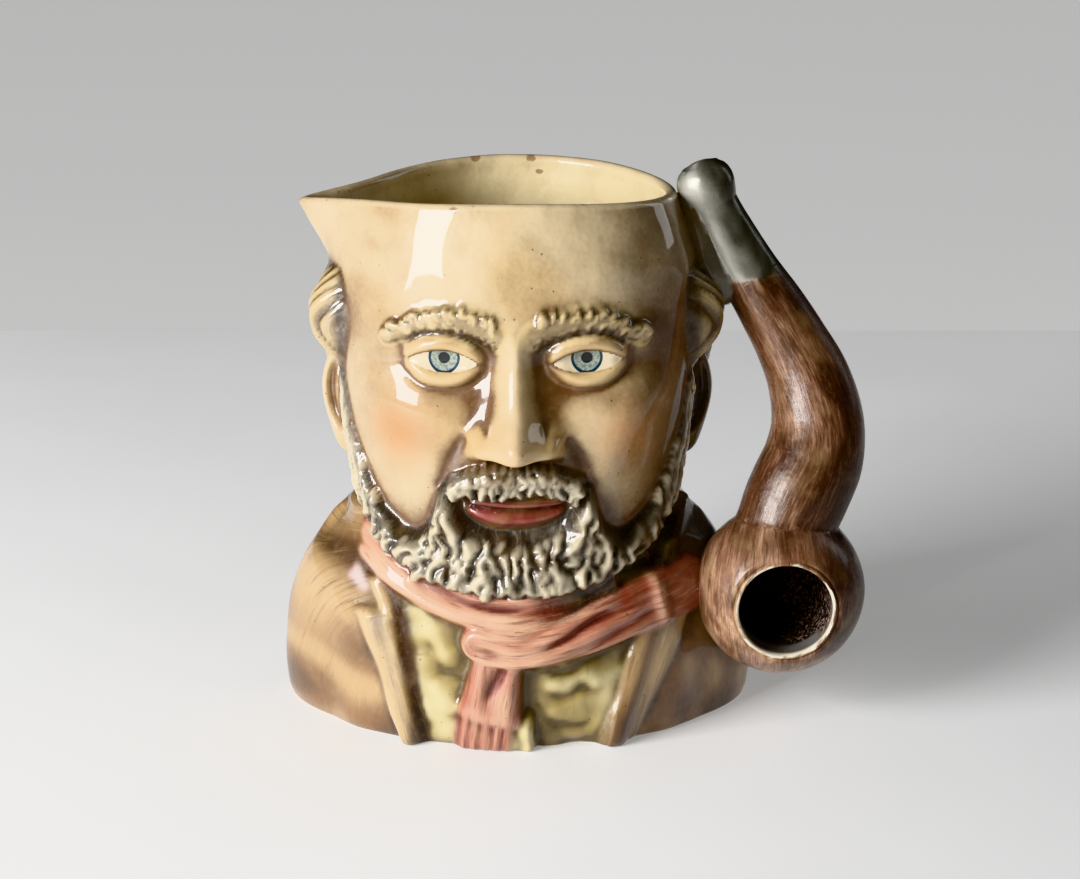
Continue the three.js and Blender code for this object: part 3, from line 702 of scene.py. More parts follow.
def scarf_layer(angle, z):
    """The band from the left shoulder, the nape, the band with the cuff to the right, the fringed
    tail and the shaded throat under them."""
    way, shape = angle * ROUND, angle.shape
    aside, onward = beside(way, z, SCARF_LEFT)
    half = mix(6.0, 5.4, smooth(onward, 60, 110))
    left = cloth_band(shape, aside, onward, half, along(LEFT_HEIGHT, onward, 1), LEFT_FOLDS)
    left.rise[way > 30] = NOWHERE
    # Painted shadow: where the left band runs on under the beard to the right, it is washed almost black.
    left.wash = np.maximum(left.wash, 0.95 * smooth(way, 2, 10))
    left.deepen(BEARD_WASH * 0.5, smooth(way, 6, 20))
    aside, onward = beside(way, z, SCARF_NAPE)
    nape = cloth_band(shape, aside, onward, 6, mix(2.2, 3.6, smooth(onward, 30, 55)), NAPE_FOLDS)
    aside, onward = beside(way, z, SCARF_RIGHT)
    right = cloth_band(shape, aside, onward, along(RIGHT_HALF, onward, 1), 5.4, RIGHT_FOLDS)
    cuff = bell(onward - CUFF_AT, 1.3)
    crumple = 0.35 * np.sin(aside * 1.6 + np.sin(onward)) * smooth(onward, CUFF_AT + 1.5, CUFF_AT + 3)
    right.rise += np.where(right.rise > 0, 1.3 * cuff + crumple, 0)
    right.tint(SCARF_DEEP, 0.25 + 0.35 * smooth(onward, 8, 34))
    right.tint(SCARF_PALE, 0.5 * cuff)
    past_cuff = 0.7 * bell(onward - CUFF_AT - 2.4, 0.8) + 0.35 * smooth(onward, CUFF_AT + 1, CUFF_AT + 4)
    right.wash = np.maximum(right.wash, past_cuff)
    tail = scarf_tail(shape, way, z)
    # The throat's dark red and near-black paint is painted shadow under the beard, darkest towards the
    # right.
    throat = Layer(shape, SCARF_DEEP, SCARF_WASH)
    beard_foot = along(BEARD_FOOT, np.degrees(np.abs(angle)), 1)
    throat.rise = np.where((z > 34) & (z < beard_foot + 4) & (way > -28) & (way < 44), 1.2, NOWHERE)
    throat.wash = 0.6 + 0.4 * smooth(way, -8, 8)
    throat.deepen(BEARD_WASH * 0.4, smooth(way, 0, 14))
    throat.tint(BEARD_WASH * 0.5, smooth(way, 4, 16))
    for part in (left, nape, tail, right):
        throat.cover(part)
    return throat


def scarf_tail(shape, way, z):
    """The end that hangs down the front, with a hem and a row of threads below it."""
    aside, onward = beside(way, z, SCARF_TAIL)
    half = mix(7.4, 10.2, smooth(onward, 0, 24))
    tail = cloth_band(shape, aside, onward, half, 4.2, TAIL_FOLDS)
    tail.rise += np.where(tail.rise > 0, 0.9 * bell(onward - FRINGE_AT, 0.9), 0)
    fringe = smooth(onward, FRINGE_AT + 0.6, FRINGE_AT + 2.2)
    threads = np.cos(aside / 10.2 * math.pi * 6.4 + 0.5 * np.sin(onward * 0.5))
    tail.rise += np.where(tail.rise > 0, fringe * (0.55 * threads - 0.8), 0)
    tail.wash = np.maximum(tail.wash, 0.8 * fringe * smooth(-threads, 0.1, 0.95))
    tail.tint(SCARF_DEEP, 0.6)
    # Painted highlights: a pale patch on the left of the tail, and pale tops to the threads and the hem.
    tail.tint(SCARF_PALE, 0.8 * bell(np.hypot((aside - 3.5) / 2.4, (onward - 12) / 4.5), 1))
    tail.tint(SCARF_PALE, 0.45 * fringe * smooth(threads, 0, 1) + 0.6 * bell(onward - FRINGE_AT, 0.7))
    tail.rise[z > 27] = NOWHERE
    return tail


# edges of the opening and of the right lapel: the height, and how far out from the middle
LEFT_EDGE = [(0, 19.4), (12, 21.6), (25, 24), (36, 26), (45, 29), (60, 34)]
RIGHT_EDGE = [(0, 19.4), (12, 22.2), (23, 25.6), (36, 29.6), (45, 33), (60, 38)]
RIGHT_LAPEL = [(0, 28.5), (12, 34), (28, 41.5), (45, 47)]
# patches of the left side, by their corners
LEFT_LAPEL = [(-26.6, -2), (-22.8, -2), (-30.0, 35), (-39.6, 33.2)]
LEFT_RIBBON = [(-32.4, 32.5), (-29.2, 33.5), (-33.4, 42.4), (-36, 41.8)]
LEFT_NOTCH = [(-38.6, 34.4), (-33.2, 34.4), (-34.6, 37.4), (-38.4, 36.4)]
LEFT_CORNER = [(-42.0, 40.5), (-38.2, 37.8), (-36.2, 39.2), (-39.4, 44.5)]
# the rolled strip on the right: the height, how far out, half width
RIGHT_STRIP = [(0, 23.0, 3.9), (7, 24.6, 3.7), (14, 27.6, 3.2), (24, 30.4, 3.2), (36, 33.6, 3.0),
               (45, 36.5, 2.6), (60, 40, 2)]
COLLAR_TOP = 57.6
SHOULDER = [(0, 0), (14, 0), (21, 0.3), (27, 1.2), (34, 2.7), (42, 4.5), (47, 5.2), (50, 5.0), (54, 3.2),
            (COLLAR_TOP, 0.6)]


def coat_layer(angle, z, x):
    """The coat: lapel, ribbon, notch and corner on the left, rolled strip and flat lapel on the right,
    and plain cloth over the shoulders and round the back."""
    shape = angle.shape
    layer = Layer(shape, COAT, COAT_WASH)
    turn, side, left = np.degrees(np.abs(angle)), np.abs(x), x < 0
    ahead = np.abs(angle) < 1.6
    off_right, right = left | ~ahead, np.where(left, 0, 1)
    front = 1 - smooth(turn, 84, 92)
    edge = np.where(left, along(LEFT_EDGE, z, 1), along(RIGHT_EDGE, z, 1))
    in_from_edge = side - edge
    q = (side - along(RIGHT_STRIP, z, 1)) / along(RIGHT_STRIP, z, 2)
    past_lapel = side - along(RIGHT_LAPEL, z, 1)
    roll = np.where(off_right, 0, np.clip(1 - np.abs(q) ** 2.6, 0, 1) ** 0.7)
    flat = np.where(off_right, 0, smooth(q, 0.6, 1.1) * fall(past_lapel, -0.7, 0.7))
    bend_x = x + 0.5 * wander(x, z, 13, 18)
    lapel = soft_patch(bend_x, z, LEFT_LAPEL, 0.9) * ahead
    ribbon = soft_patch(bend_x, z, LEFT_RIBBON, 1.1) * ahead
    notch = soft_patch(x, z, LEFT_NOTCH, 1.2) * ahead
    corner = soft_patch(x, z, LEFT_CORNER, 0.9) * ahead

    deep = mix(3.8, 2.0, smooth(z, 0, 22))
    shoulder = along(SHOULDER, z, 1) * (1 - 0.55 * smooth(turn, 84, 112) * smooth(z, 34, 44))
    cloth = 2.2 * smooth(in_from_edge, 0, 2.4) + deep * np.maximum(roll, lapel) + flat
    cloth += 1.7 * ribbon * (1 - lapel) + 0.6 * corner - 0.3 * notch
    cloth += 0.5 * wander(x - 26 * np.cos(angle), z, 19, 14) * smooth(side, 33, 40)
    collar = smooth(-x, 30, 34) * smooth(z, 40, 44) * fall(side, 46, 52)
    outer = smooth(side, 40, 50) * (1 - 0.75 * collar)
    rise = mix(0.2 + shoulder, mix(cloth, shoulder, outer), front)
    rise = rise * mix(0.8, 1, smooth(z, 0, 2.5))
    rolled_in = np.where(side < edge - 3, NOWHERE, rise - 2.6 * smooth(-in_from_edge, -0.6, 2.4))
    rise = np.where(front > 0.5, rolled_in, rise)
    rise = np.where(z > 50, rise * mix(1 - 0.9 * smooth(z, 50, 57), 1, smooth(turn, 62, 72)), rise)
    layer.rise = np.where(z > COLLAR_TOP, NOWHERE, rise)

    open_cloth = np.where(off_right, 1 - np.maximum(lapel, ribbon), smooth(past_lapel, -0.5, 0.8))
    open_cloth = open_cloth * np.where(ahead, smooth(in_from_edge, 2, 5), 1)
    layer.pool = 0.6 - 0.5 * np.maximum(corner, 0.6 * notch)
    cloud = wander(x * 0.9 - 26 * np.cos(angle), z * 0.8, 15, 15)
    layer.tint(COAT_PALE, 0.75 * smooth(cloud, 0.1, 0.9) * open_cloth * (1 - 0.5 * smooth(z, 24, 40)))
    # Paler shoulders, much paler on the left: partly their lighter paint and partly a painted highlight on
    # the side the window lamp lights.
    layer.tint(COAT_PALE, np.where(left, 0.75, 0.25) * smooth(side, 38, 52) * smooth(z, 14, 34) * front)
    layer.tint(LAPEL_CREAM, 0.85 * lapel + 0.7 * ribbon)
    # Painted highlight along the left of the rolled strip.
    layer.tint(COAT_PALE, 0.7 * roll * bell(q + 0.25, 0.35) * smooth(z, 6, 20))
    layer.tint(COAT_GREY, 0.75 * flat)
    layer.tint(COAT_PALE, 0.7 * flat * bell((z - 20) / 9, 1))
    layer.tint(JERSEY_PALE, 0.35 * right * bell(in_from_edge - 0.9, 0.9) * fall(z, 30, 36))
    layer.tint(LILAC, corner)
    # The grey in the collar notch is painted shadow.
    layer.tint(COAT_GREY * 0.7, 0.7 * notch)
    shade = right * smooth(z, 36, 41) * front
    layer.tint(COAT_WASH * 0.12, shade * fall(side, 38, 44))
    layer.tint(COAT_GREY * 0.6, 0.9 * shade * smooth(side, 38, 44))
    layer.deepen(COAT_WASH * 0.3, shade)

    # Dark brown on the wall inside the coat's left edge: partly the coat's darker inside and partly painted
    # shade on a wall turned away from the window lamp.
    inner = smooth(in_from_edge, 0.1, 0.9) * smooth(x + 22.6 + 0.195 * (z + 2), -0.9, 0.3)
    inner = inner * left * front * fall(z, 38, 44)
    layer.deepen(COAT_WASH * 0.3, 0.85 * inner * fall(z, 6, 24))
    layer.wash = 0.95 * inner + 0.55 * roll * smooth(np.abs(q + 0.1), 0.55, 1)
    layer.wash += 0.8 * roll * fall(z, 5, 20)
    layer.wash += 0.55 * right * bell(past_lapel - 0.7, 0.9) * front
    layer.wash += 0.2 * right * open_cloth + 0.6 * smooth(-cloud, 0.0, 0.9) * open_cloth
    layer.wash += 0.4 * fall(z, 0, 2.5)
    # Painted shade under the scarf over the front of the shoulders, twice as dark on the right.
    layer.wash += np.where(left, 0.25, 0.5) * smooth(z, 34, 42) * smooth(side, 30, 38) * front
    lapel_streaks = smooth(wander(x * 1.6 + 0.48 * z, z * 0.5, 11, 16), -0.1, 1)
    layer.wash += lapel * (0.45 * lapel_streaks + 0.5 * smooth(x + 27.5 + 0.3 * z, -0.5, 3.5))
    layer.wash += 0.3 * ribbon * smooth(wander(x * 2, z * 0.7, 7, 17), -0.3, 1)
    layer.wash += 0.5 * bell(soft_patch(x, z, LEFT_LAPEL, 2.2) - 0.3, 0.2) * left * open_cloth * front
    layer.wash *= (1 - 0.9 * corner) * (1 - 0.4 * notch)
    turned = np.maximum(np.maximum(lapel, ribbon), np.maximum(roll, flat))
    layer.streak = 0.85 + 0.5 * left * smooth(z, 22, 36) * open_cloth + 0.35 * turned
    layer.streak = layer.streak * (1 - 0.8 * shade)
    layer.gloss = 1 - 0.75 * np.maximum(inner, bell(in_from_edge - 1.2, 2.0) * front)
    layer.gloss = np.minimum(layer.gloss, 1 - 0.75 * np.maximum(notch, shade))
    sweep = brush_way(np.hypot(side - 24, (z - 6) * 0.9) * 1.3, 30 * np.arctan2(z - 6, side - 24), 1)
    layer.flow = np.where((open_cloth < 0.5)[..., None], brush_way(side - 0.3 * z, z, 9), sweep)
    return layer


RIGHT_DRAPES = [[(5.5, 18.5), (8, 16.4), (13, 15.6), (16.2, 17.8), (19.5, 16), (23, 17.5)],
                [(6, 11.4), (9.5, 8), (15, 6.4), (20, 8.6)], [(6.5, 25), (11, 21.8), (17, 22.6)],
                [(10, 3.2), (15, 1.6), (19, 3)]]
LEFT_DRAPES = [[(-22, 30), (-18, 22), (-12, 21)], [(-23, 17), (-17, 10), (-12, 11)]]


def jersey_layer(angle, z, x):
    """The jersey between the two sides of the coat: soft folds, and a lump that hangs beside the scarf."""
    layer = Layer(angle.shape, JERSEY, JERSEY_WASH)
    relief = wander(x * 1.3, z * 0.9, 24, 21) + 0.35 * wander(x, z * 1.3, 11, 22)
    for depth, drapes in ((0.75, RIGHT_DRAPES), (0.45, LEFT_DRAPES)):
        for path in drapes:
            fold, onward = beside(x, z, path)
            ends = smooth(onward, 0, 3) * fall(onward, onward.max() - 3, onward.max())
            relief += depth * (bell(fold - 2.0, 2.2) - 1.3 * bell(fold + 0.7, 1.1)) * ends
    hanging = x - 2.6 - 0.1 * z - 0.6 * np.sin(z * 0.7)
    lump = bell(np.hypot(hanging / 1.6, np.maximum(z - 6, 0) / 3.2), 1)
    relief += (1.7 + 0.5 * np.sin(z * 1.3)) * lump
    relief -= 1.5 * bell(x - 5.2, 1.1) * fall(z, 10, 13)
    relief -= 2.4 * bell(x - 3.2, 2.8) * smooth(z, 8, 12)
    inside = (x > -along(LEFT_EDGE, z, 1) - 1.5) & (x < along(RIGHT_EDGE, z, 1) + 1.5) & (z < 45)
    layer.rise = np.where(inside & (np.abs(angle) < 1.2), 1.4 + relief, NOWHERE)
    # Painted highlight on the tops of the folds.
    layer.tint(JERSEY_PALE, 0.95 * smooth(relief, 0.0, 1.1))
    layer.wash = 0.7 * bell(np.abs(hanging) - 2.6, 0.9) * fall(z, 9, 13) + 0.55 * smooth(-relief, -0.1, 1.3)
    # Darker at the foot, and painted shade along the left edge of the coat.
    layer.wash += 0.5 * fall(z, 0, 2) + 0.5 * bell(x + 22 + 0.2 * z, 3)
    layer.streak[:] = 0.5
    layer.flow = brush_way(x, z, 2)
    return layer


# ------------------------------------------------------------------ the sheet of the figure
def blur(grid, count):
    """Evens a map of the sheet out over a few places each way."""
    reach = int(3 * count)
    kernel = bell(np.arange(-reach, reach + 1), count * 1.414)
    kernel /= kernel.sum()
    wrapped = np.concatenate([grid[:, -reach - 1:-1], grid, grid[:, 1:reach + 1]], axis=1)
    rows = np.apply_along_axis(lambda r: np.convolve(r, kernel, "valid"), 1, wrapped)
    padded = np.pad(rows, ((reach, reach), (0, 0)), mode="edge")
    return np.apply_along_axis(lambda c: np.convolve(c, kernel, "valid"), 0, padded)


def blur_paint(paints, count):
    """The same for a map of colours."""
    return np.stack([blur(paints[..., k], count) for k in range(3)], axis=-1)


# stretches of height with their counts of rows, close together where the relief is fine
OUTSIDE_ROWS = [(0.5, 24, 28), (24, 40, 29), (40, 62, 44), (62, 80, 36), (80, 94, 20), (94, 114, 38),
                (114, 122, 10), (122, 138.4, 13)]
INSIDE_ROWS = [(137, 122, 6), (122, 60, 9), (60, 36, 6), (36, 10, 7)]
FLOOR_RINGS = [(0.95, 8.2), (0.88, 6.9), (0.78, 6.2), (0.5, FLOOR), (0.25, FLOOR), (0, FLOOR)]


def figure_sheet():
    """All layers laid over each other, with wash and painted shade pooled in the hollows; gives the points
    and the layer.
    """
    angle, z = np.meshgrid(column_angles(), spread(OUTSIDE_ROWS))
    base = figure_point(angle, z)
    x = base[..., 0]
    skin = face_layer(angle, z, x)
    bare = skin.rise.copy()
    skin.cover(moustache_layer(angle, z, x, bare))
    skin.cover(brow_layer(angle, z, x, bare))
    cloth = jersey_layer(angle, z, x)
    cloth.cover(coat_layer(angle, z, x))
    cloth.cover(scarf_layer(angle, z))
    cloth.rise = np.where(z > 72, NOWHERE, cloth.rise)
    skin.rise = np.where(z < 42, NOWHERE + 1, skin.rise)
    skin.cover(cloth)
    low = 1 - smooth(z, 50, 60)
    for name in ("rise", "wash", "gloss"):
        field = getattr(skin, name)
        setattr(skin, name, mix(field, blur(field, 0.9), low))
    skin.light = fade(skin.light, blur_paint(skin.light, 1.0), low)
    skin.dark = fade(skin.dark, blur_paint(skin.dark, 1.0), low)
    skin.cover(beard_layer(angle, z, x, bare))
    skin.cover(side_hair_layer(angle, z))
    # Wash pools in the small hollows; the broad and wide terms darken bigger hollows and the skin round
    # raised forms as painted shade.
    hollow = blur(skin.rise, 2.4) - skin.rise
    broad, wide = blur(skin.rise, 8) - skin.rise, blur(skin.rise, 16) - skin.rise
    pooled_wash_and_shade = 0.9 * smooth(hollow, 0.06, 0.75) + 0.45 * smooth(broad, 0.2, 2.0)
    pooled_wash_and_shade += 0.25 * smooth(wide, 0.3, 2.5)
    skin.wash = np.clip(skin.wash + skin.pool * pooled_wash_and_shade, 0, 1) - 0.2 * smooth(-hollow, 0.05, 0.6)
    skin.wash = blur(np.clip(skin.wash, 0, 1), 0.4)
    skin.light, skin.dark = blur_paint(skin.light, 0.55), blur_paint(skin.dark, 0.55)
    skin.eye = eyeball_mask(angle, z, x)
    skin.rise = blur(skin.rise, 0.55)
    points = base + figure_normal(angle, z) * skin.rise[..., None]
    points[..., 2] = np.maximum(points[..., 2], 0.3)
    return points, skin


def inner_point(angle, z, wall):
    """A point of the inner face, with the lip's hollow a little shallower than the lip."""
    return place(angle, z, plan_radius(angle, z) + 0.92 * lip(angle, z) - wall)


def sleeve_rows(points, skin):
    """The whole skin in one run of rings: under the foot, up the outside, over the rim, down inside."""
    angles = column_angles()
    foot = points[0].copy()
    foot[:, 2] = 0
    middle = np.array([0, 2.0, 0])
    under = [middle + (foot - middle) * s for s in (0, 0.3, 0.6, 0.9, 0.975, 0.992)]
    outer, edge = points[-1], RIM - RIM_ROUND
    inner = inner_point(angles, np.full(angles.shape, edge), WALL - RIM_ROUND)
    rim = []
    for k in range(1, 7):
        t = math.pi * k / 7
        ring = mix(outer, inner, (1 - math.cos(t)) / 2)
        ring[:, 2] += RIM_ROUND * math.sin(t)
        rim.append(ring)
    inside = [inner]
    for z in spread(INSIDE_ROWS):
        wall = WALL + 4 * fall(z, FLOOR, 14) - RIM_ROUND * smooth(z, 130, edge)
        inside.append(inner_point(angles, np.full(angles.shape, z), wall))
    last = inside[-1]
    for share, z in FLOOR_RINGS:
        ring = middle + (last - middle) * share
        ring[:, 2] = z
        inside.append(ring)
    rings = np.array(under + list(points) + rim + inside)
    before, after = len(under), len(rim) + len(inside)

    def extend(grid, below, above):
        first = np.broadcast_to(below, (before,) + grid.shape[1:])
        rest = np.broadcast_to(above, (after,) + grid.shape[1:])
        return np.concatenate([first, grid, rest])

    light = extend(skin.light, UNDERSIDE, CREAM)
    light[before + len(points) + len(rim):] = INSIDE_GLAZE
    # A little wash all round the inside, and painted shade on the inner wall on the spout side.
    inside_wash_and_shade = 0.07 + 0.3 * bell(angles + math.radians(80), math.radians(45)) * np.ones((after, 1))
    wash = np.concatenate([np.full((before, len(angles)), 0.15), skin.wash, inside_wash_and_shade])
    finish = np.stack([wash, extend(skin.streak, 0.2, 0.2),
                       extend(np.zeros(skin.wash.shape), 0, 0), extend(skin.eye, 0, 0)], axis=-1)
    dark, flow = extend(skin.dark, SKIN_WASH, SKIN_WASH), extend(skin.flow, 0, 0)
    return rings, light, dark, finish, flow, extend(skin.gloss, 1, 1)


# ------------------------------------------------------------------ clay into meshes
class Source:
    """Every painted place of the unjoined parts, so the joined jug can take its paint from them.
    A finish is four values: wash, streak of the brush, metal (1 pewter, -1 soot) and eyeball."""

    def __init__(self):
        self.points, self.light, self.dark, self.finish, self.flow = [], [], [], [], []

    def add(self, points, light, dark, finish, flow, gloss=1.0):
        count = points.reshape(-1, 3).shape[0]
        shape = points.shape[:-1]
        self.points.append(points.reshape(-1, 3) * MM)
        self.light.append(np.broadcast_to(light, shape + (3,)).reshape(count, 3))
        gloss = np.broadcast_to(gloss, shape).reshape(count, 1)
        self.dark.append(np.hstack([np.broadcast_to(dark, shape + (3,)).reshape(count, 3), gloss]))
        self.finish.append(np.broadcast_to(finish, shape + (4,)).reshape(count, 4))
        self.flow.append(np.broadcast_to(flow, shape + (3,)).reshape(count, 3))


def deselect():
    if bpy.context.object and bpy.context.object.mode != "OBJECT":
        bpy.ops.object.mode_set(mode="OBJECT")
    bpy.ops.object.select_all(action="DESELECT")


def pick_up(piece):
    """Makes a piece the only one chosen and the one worked on."""
    deselect()
    bpy.context.view_layer.objects.active = piece
    piece.select_set(True)


def roll_clay(name, rings):
    """Rolls a flat grid of clay into a closed tube through the rings; a ring of one point closes an end."""
    rings = rings.copy()
    rings[:, -1] = rings[:, 0]
    rows, columns = rings.shape[:2]
    deselect()
    bpy.ops.mesh.primitive_grid_add(x_subdivisions=columns - 1, y_subdivisions=rows - 1, size=2)
    piece = bpy.context.object
    piece.name = piece.data.name = name
    flat = np.zeros(len(piece.data.vertices) * 3, np.float32)
    piece.data.vertices.foreach_get("co", flat)
    flat = flat.reshape(-1, 3)
    column = np.rint((flat[:, 0] + 1) / 2 * (columns - 1)).astype(int)
    row = np.rint((flat[:, 1] + 1) / 2 * (rows - 1)).astype(int)
    piece.data.vertices.foreach_set("co", (rings[row, column] * MM).astype(np.float32).ravel())
    piece.data.update()
    bpy.ops.object.mode_set(mode="EDIT")
    bpy.ops.mesh.select_all(action="SELECT")
    bpy.ops.mesh.remove_doubles(threshold=1e-7)
    bpy.ops.mesh.normals_make_consistent(inside=False)
    bpy.ops.object.mode_set(mode="OBJECT")
    return piece


def join_clay(piece, other):
    """Joins another closed piece on, with nothing left of it inside."""
    pick_up(piece)
    join = piece.modifiers.new("join", "BOOLEAN")
    join.object, join.operation, join.solver = other, "UNION", "MANIFOLD"
    bpy.ops.object.modifier_apply(modifier=join.name)
    bpy.data.objects.remove(other)


# ------------------------------------------------------------------ ears
EAR = {"side": 44.2, "back": 3.0, "height": 82.5, "reach": 7.8, "thick": 4.4, "tall": 15.5, "flare": 24}


def ear_rings(side):
    """An ear: a flattened egg with a rolled rim, a hollow shell and a soft lobe."""
    around = np.linspace(-math.pi, math.pi, 65)
    rise = np.linspace(-math.pi / 2, math.pi / 2, 45)
    t, s = np.meshgrid(around, rise)
    out, front, up = np.cos(t) * np.cos(s), np.sin(t) * np.cos(s), np.sin(s)
    face = smooth(-front, 0.05, 0.5)
    hollow = fall(np.hypot(out / 0.78, (up - 0.12) / 0.72), 0.72, 1.02) * face
    inner_fold = bell(np.hypot((out - 0.28) / 0.16, (up - 0.15) / 0.6), 1) * face
    lobe = blob(out, up, 0.35, -0.82, 0.5, 0.3, 1) * face
    depth = front * EAR["thick"] + 2.7 * hollow - 1.3 * inner_fold - 0.5 * lobe
    wide = EAR["reach"] * mix(0.72, 1.0, smooth(up, -0.9, 0.3))
    x, turn = out * wide, math.radians(EAR["flare"])
    px = EAR["side"] + x * math.cos(turn) - depth * math.sin(turn)
    py = EAR["back"] + x * math.sin(turn) + depth * math.cos(turn)
    rings = np.stack([side * px, py, EAR["height"] + up * EAR["tall"]], axis=-1)
    rings[0], rings[-1] = rings[0].mean(axis=0), rings[-1].mean(axis=0)
    wash = np.clip(1.1 * hollow - 0.5 * inner_fold + 0.3 * smooth(front, 0, 1), 0, 1)
    # The right ear takes far more wash than the left: painted shade.
    wash = np.clip(wash + (0.75 if side > 0 else 0.1), 0, 1)
    light = mix(CREAM, OCHRE, (0.5 * hollow + 0.3 * lobe)[..., None])
    return rings, light, wash


# ------------------------------------------------------------------ the pipe
# middle of each ring and its radius, from the mouthpiece down
PIPE = [
    (46.4, 0, 145.1, 0), (46.5, 0, 144.8, 2.3), (46.8, 0, 144.0, 4.8), (47.3, 0, 142.5, 6.5),
    (47.9, 0, 140.6, 7.3), (48.6, 0, 138.4, 7.4), (49.4, 0, 136.1, 6.95), (50.1, 0, 134.1, 6.55),
    (54.2, 0, 126, 7.2), (60.1, 0, 116, 7.9), (66, -1.8, 107, 8.8), (70.9, -3.6, 98.8, 9.5),
    (75.6, -6, 89, 10.8), (77.8, -9, 78.5, 12), (76.6, -12, 69.5, 12.9), (73.2, -14.6, 62, 13.2),
    (70.4, -16.2, 55.5, 13), (68.6, -17.6, 46, 12), (68.6, -17.6, 45, 0),
]
WEB = [(42, 0, 139, 0), (43, 0, 138, 2.5), (45.5, 0, 133, 5), (48.5, 0, 124, 6), (52, 0, 114, 7),
       (54.3, 0, 109, 4.8), (55, 0, 107.6, 0)]
BOWL = {"x": 68.2, "y": -19, "z": 36.6, "radius": 21.92, "bore": 11.9, "mouth": -36.5}
# down the bore: how deep, and the share of its radius
BORE_RINGS = [(2, 1), (6, 0.995), (11, 0.985), (16, 0.96), (20, 0.9), (23, 0.78), (25, 0.55), (26, 0)]
BALL_RINGS, LIP_RINGS = 46, 7
METAL_END = 116.0


def tube_rings(table, sides, step, close_at=None):
    """Rings along a bent tube, with the turn round it and the way along it at each place.
    Round the height close_at they lie closer together, for a crisp edge of the paint."""
    rows = np.asarray(table, float)
    reach = np.concatenate([[0], np.cumsum(np.linalg.norm(np.diff(rows[:, :3], axis=0), axis=1))])
    at = np.linspace(0, reach[-1], int(reach[-1] / step))
    if close_at:
        middle = float(np.interp(-close_at, -rows[:, 2], reach))
        at = np.concatenate([at, np.arange(middle - 2.4, middle + 2.4, 0.4)])
    at = np.unique(np.concatenate([at, reach]))
    table_at = np.column_stack([reach, rows])
    centre = np.stack([along(table_at, at, k) for k in (1, 2, 3)], axis=-1)
    radius = np.maximum(along(table_at, at, 4), 0)
    radius[0] = radius[-1] = 0
    ahead = np.gradient(centre, axis=0)
    ahead /= np.linalg.norm(ahead, axis=1, keepdims=True)
    across = np.cross([0, 1, 0], ahead)
    across /= np.linalg.norm(across, axis=1, keepdims=True)
    other = np.cross(ahead, across)
    t = np.linspace(0, 2 * math.pi, sides + 1)
    rings = (centre[:, None] + radius[:, None, None]
             * (across[:, None] * np.cos(t)[:, None] + other[:, None] * np.sin(t)[:, None]))
    turn, onward = np.meshgrid(t, at)
    return rings, turn, onward


def stem_part():
    """The pewter mouthpiece and the wooden stem, with painted shade on the side away from the jug and a
    painted highlight down the pewter.
    """
    rings, turn, onward = tube_rings(PIPE, 64, 1.1, METAL_END)
    z = rings[..., 2]
    round_x, round_y = 12 * np.cos(turn), 12 * np.sin(turn)
    tilt = z + 1.6 * np.cos(turn) + 0.25 * wander(round_x, round_y, 7, 53)
    wood = 1 - smooth(tilt, METAL_END - 0.35, METAL_END + 0.35)
    light = fade(PEWTER, BRIAR, wood)
    worn = smooth(wander(round_x * 1.4, round_y * 1.4 + onward * 0.4, 8, 51), -0.4, 1.1) * wood
    light = fade(light, BRIAR_PALE, 0.5 * worn)
    light = fade(light, BARE_WHITE, 0.55 * bell(tilt - METAL_END, 0.4))
    dark = fade(PEWTER_WASH, BRIAR_WASH, wood)
    stain = smooth(wander(round_x * 1.2, round_y * 1.2 + onward * 0.7, 11, 52), -0.1, 1.0)
    # Painted shade: the wood and the pewter are darker on the side away from the jug.
    right = smooth(-np.cos(turn), -0.3, 0.9)
    wash = wood * (0.12 + 0.45 * stain + 0.85 * right * (0.5 + 0.7 * stain)
                   + 0.35 * bell(z - 111, 5) * (1 - 0.6 * worn) + 0.5 * bell(z - 65, 11))
    wash = np.maximum(wash, 0.7 * bell(z - 56, 3.5))
    # A painted highlight down the left front of the pewter; away from it and on the right the pewter takes
    # painted shade, with some mottling.
    shine = bell(np.abs(np.angle(np.exp(1j * (turn - math.radians(305))))), 0.42)
    mottle = smooth(wander(round_x, round_y + onward * 0.7, 6, 54), -0.5, 1)
    wash += (1 - wood) * np.clip(0.30 - 0.6 * shine + 0.3 * mottle + 0.5 * right, 0, 1)
    light = fade(light, PEWTER_SHINE, 0.8 * shine * (1 - wood))
    finish = np.stack([np.clip(wash, 0, 1), 0.5 + 1.9 * wood, 1 - wood, 0 * wood], axis=-1)
    return rings, light, dark, finish, brush_way(turn * 19, onward * 2.2, 3), mix(0.2, 0.1, wood)


def bowl_rings():
    """The ball of the bowl, its rounded lip and the bore, turned round an axis that points forward."""
    r, reach = BOWL["radius"], BOWL["y"] - BOWL["mouth"]
    open_at = math.acos(reach / r)
    a = np.linspace(math.pi, open_at + 0.03, BALL_RINGS)
    profile = [(r * math.sin(s), r * math.cos(s)) for s in a]
    lip_half = (r * math.sin(open_at) - BOWL["bore"]) / 2
    middle = BOWL["bore"] + lip_half
    for t in np.linspace(0.2, math.pi - 0.2, LIP_RINGS):
        profile.append((middle + lip_half * math.cos(t), reach - 0.9 + 1.1 * math.sin(t)))
    for depth, share in BORE_RINGS:
        profile.append((BOWL["bore"] * share, reach - depth))
    profile = np.array(profile)
    profile[0, 0] = 0
    t = np.linspace(0, 2 * math.pi, 97)
    radius, forth = profile[:, 0][:, None], profile[:, 1][:, None]
    uneven = 1 + 0.006 * wander(np.cos(t) * 9, np.sin(t) * 9, 9, 60)
    rings = np.stack([BOWL["x"] + radius * np.cos(t) * uneven, BOWL["y"] - forth + 0 * t,
                      BOWL["z"] + radius * np.sin(t) * uneven], axis=-1)
    return rings, profile, t


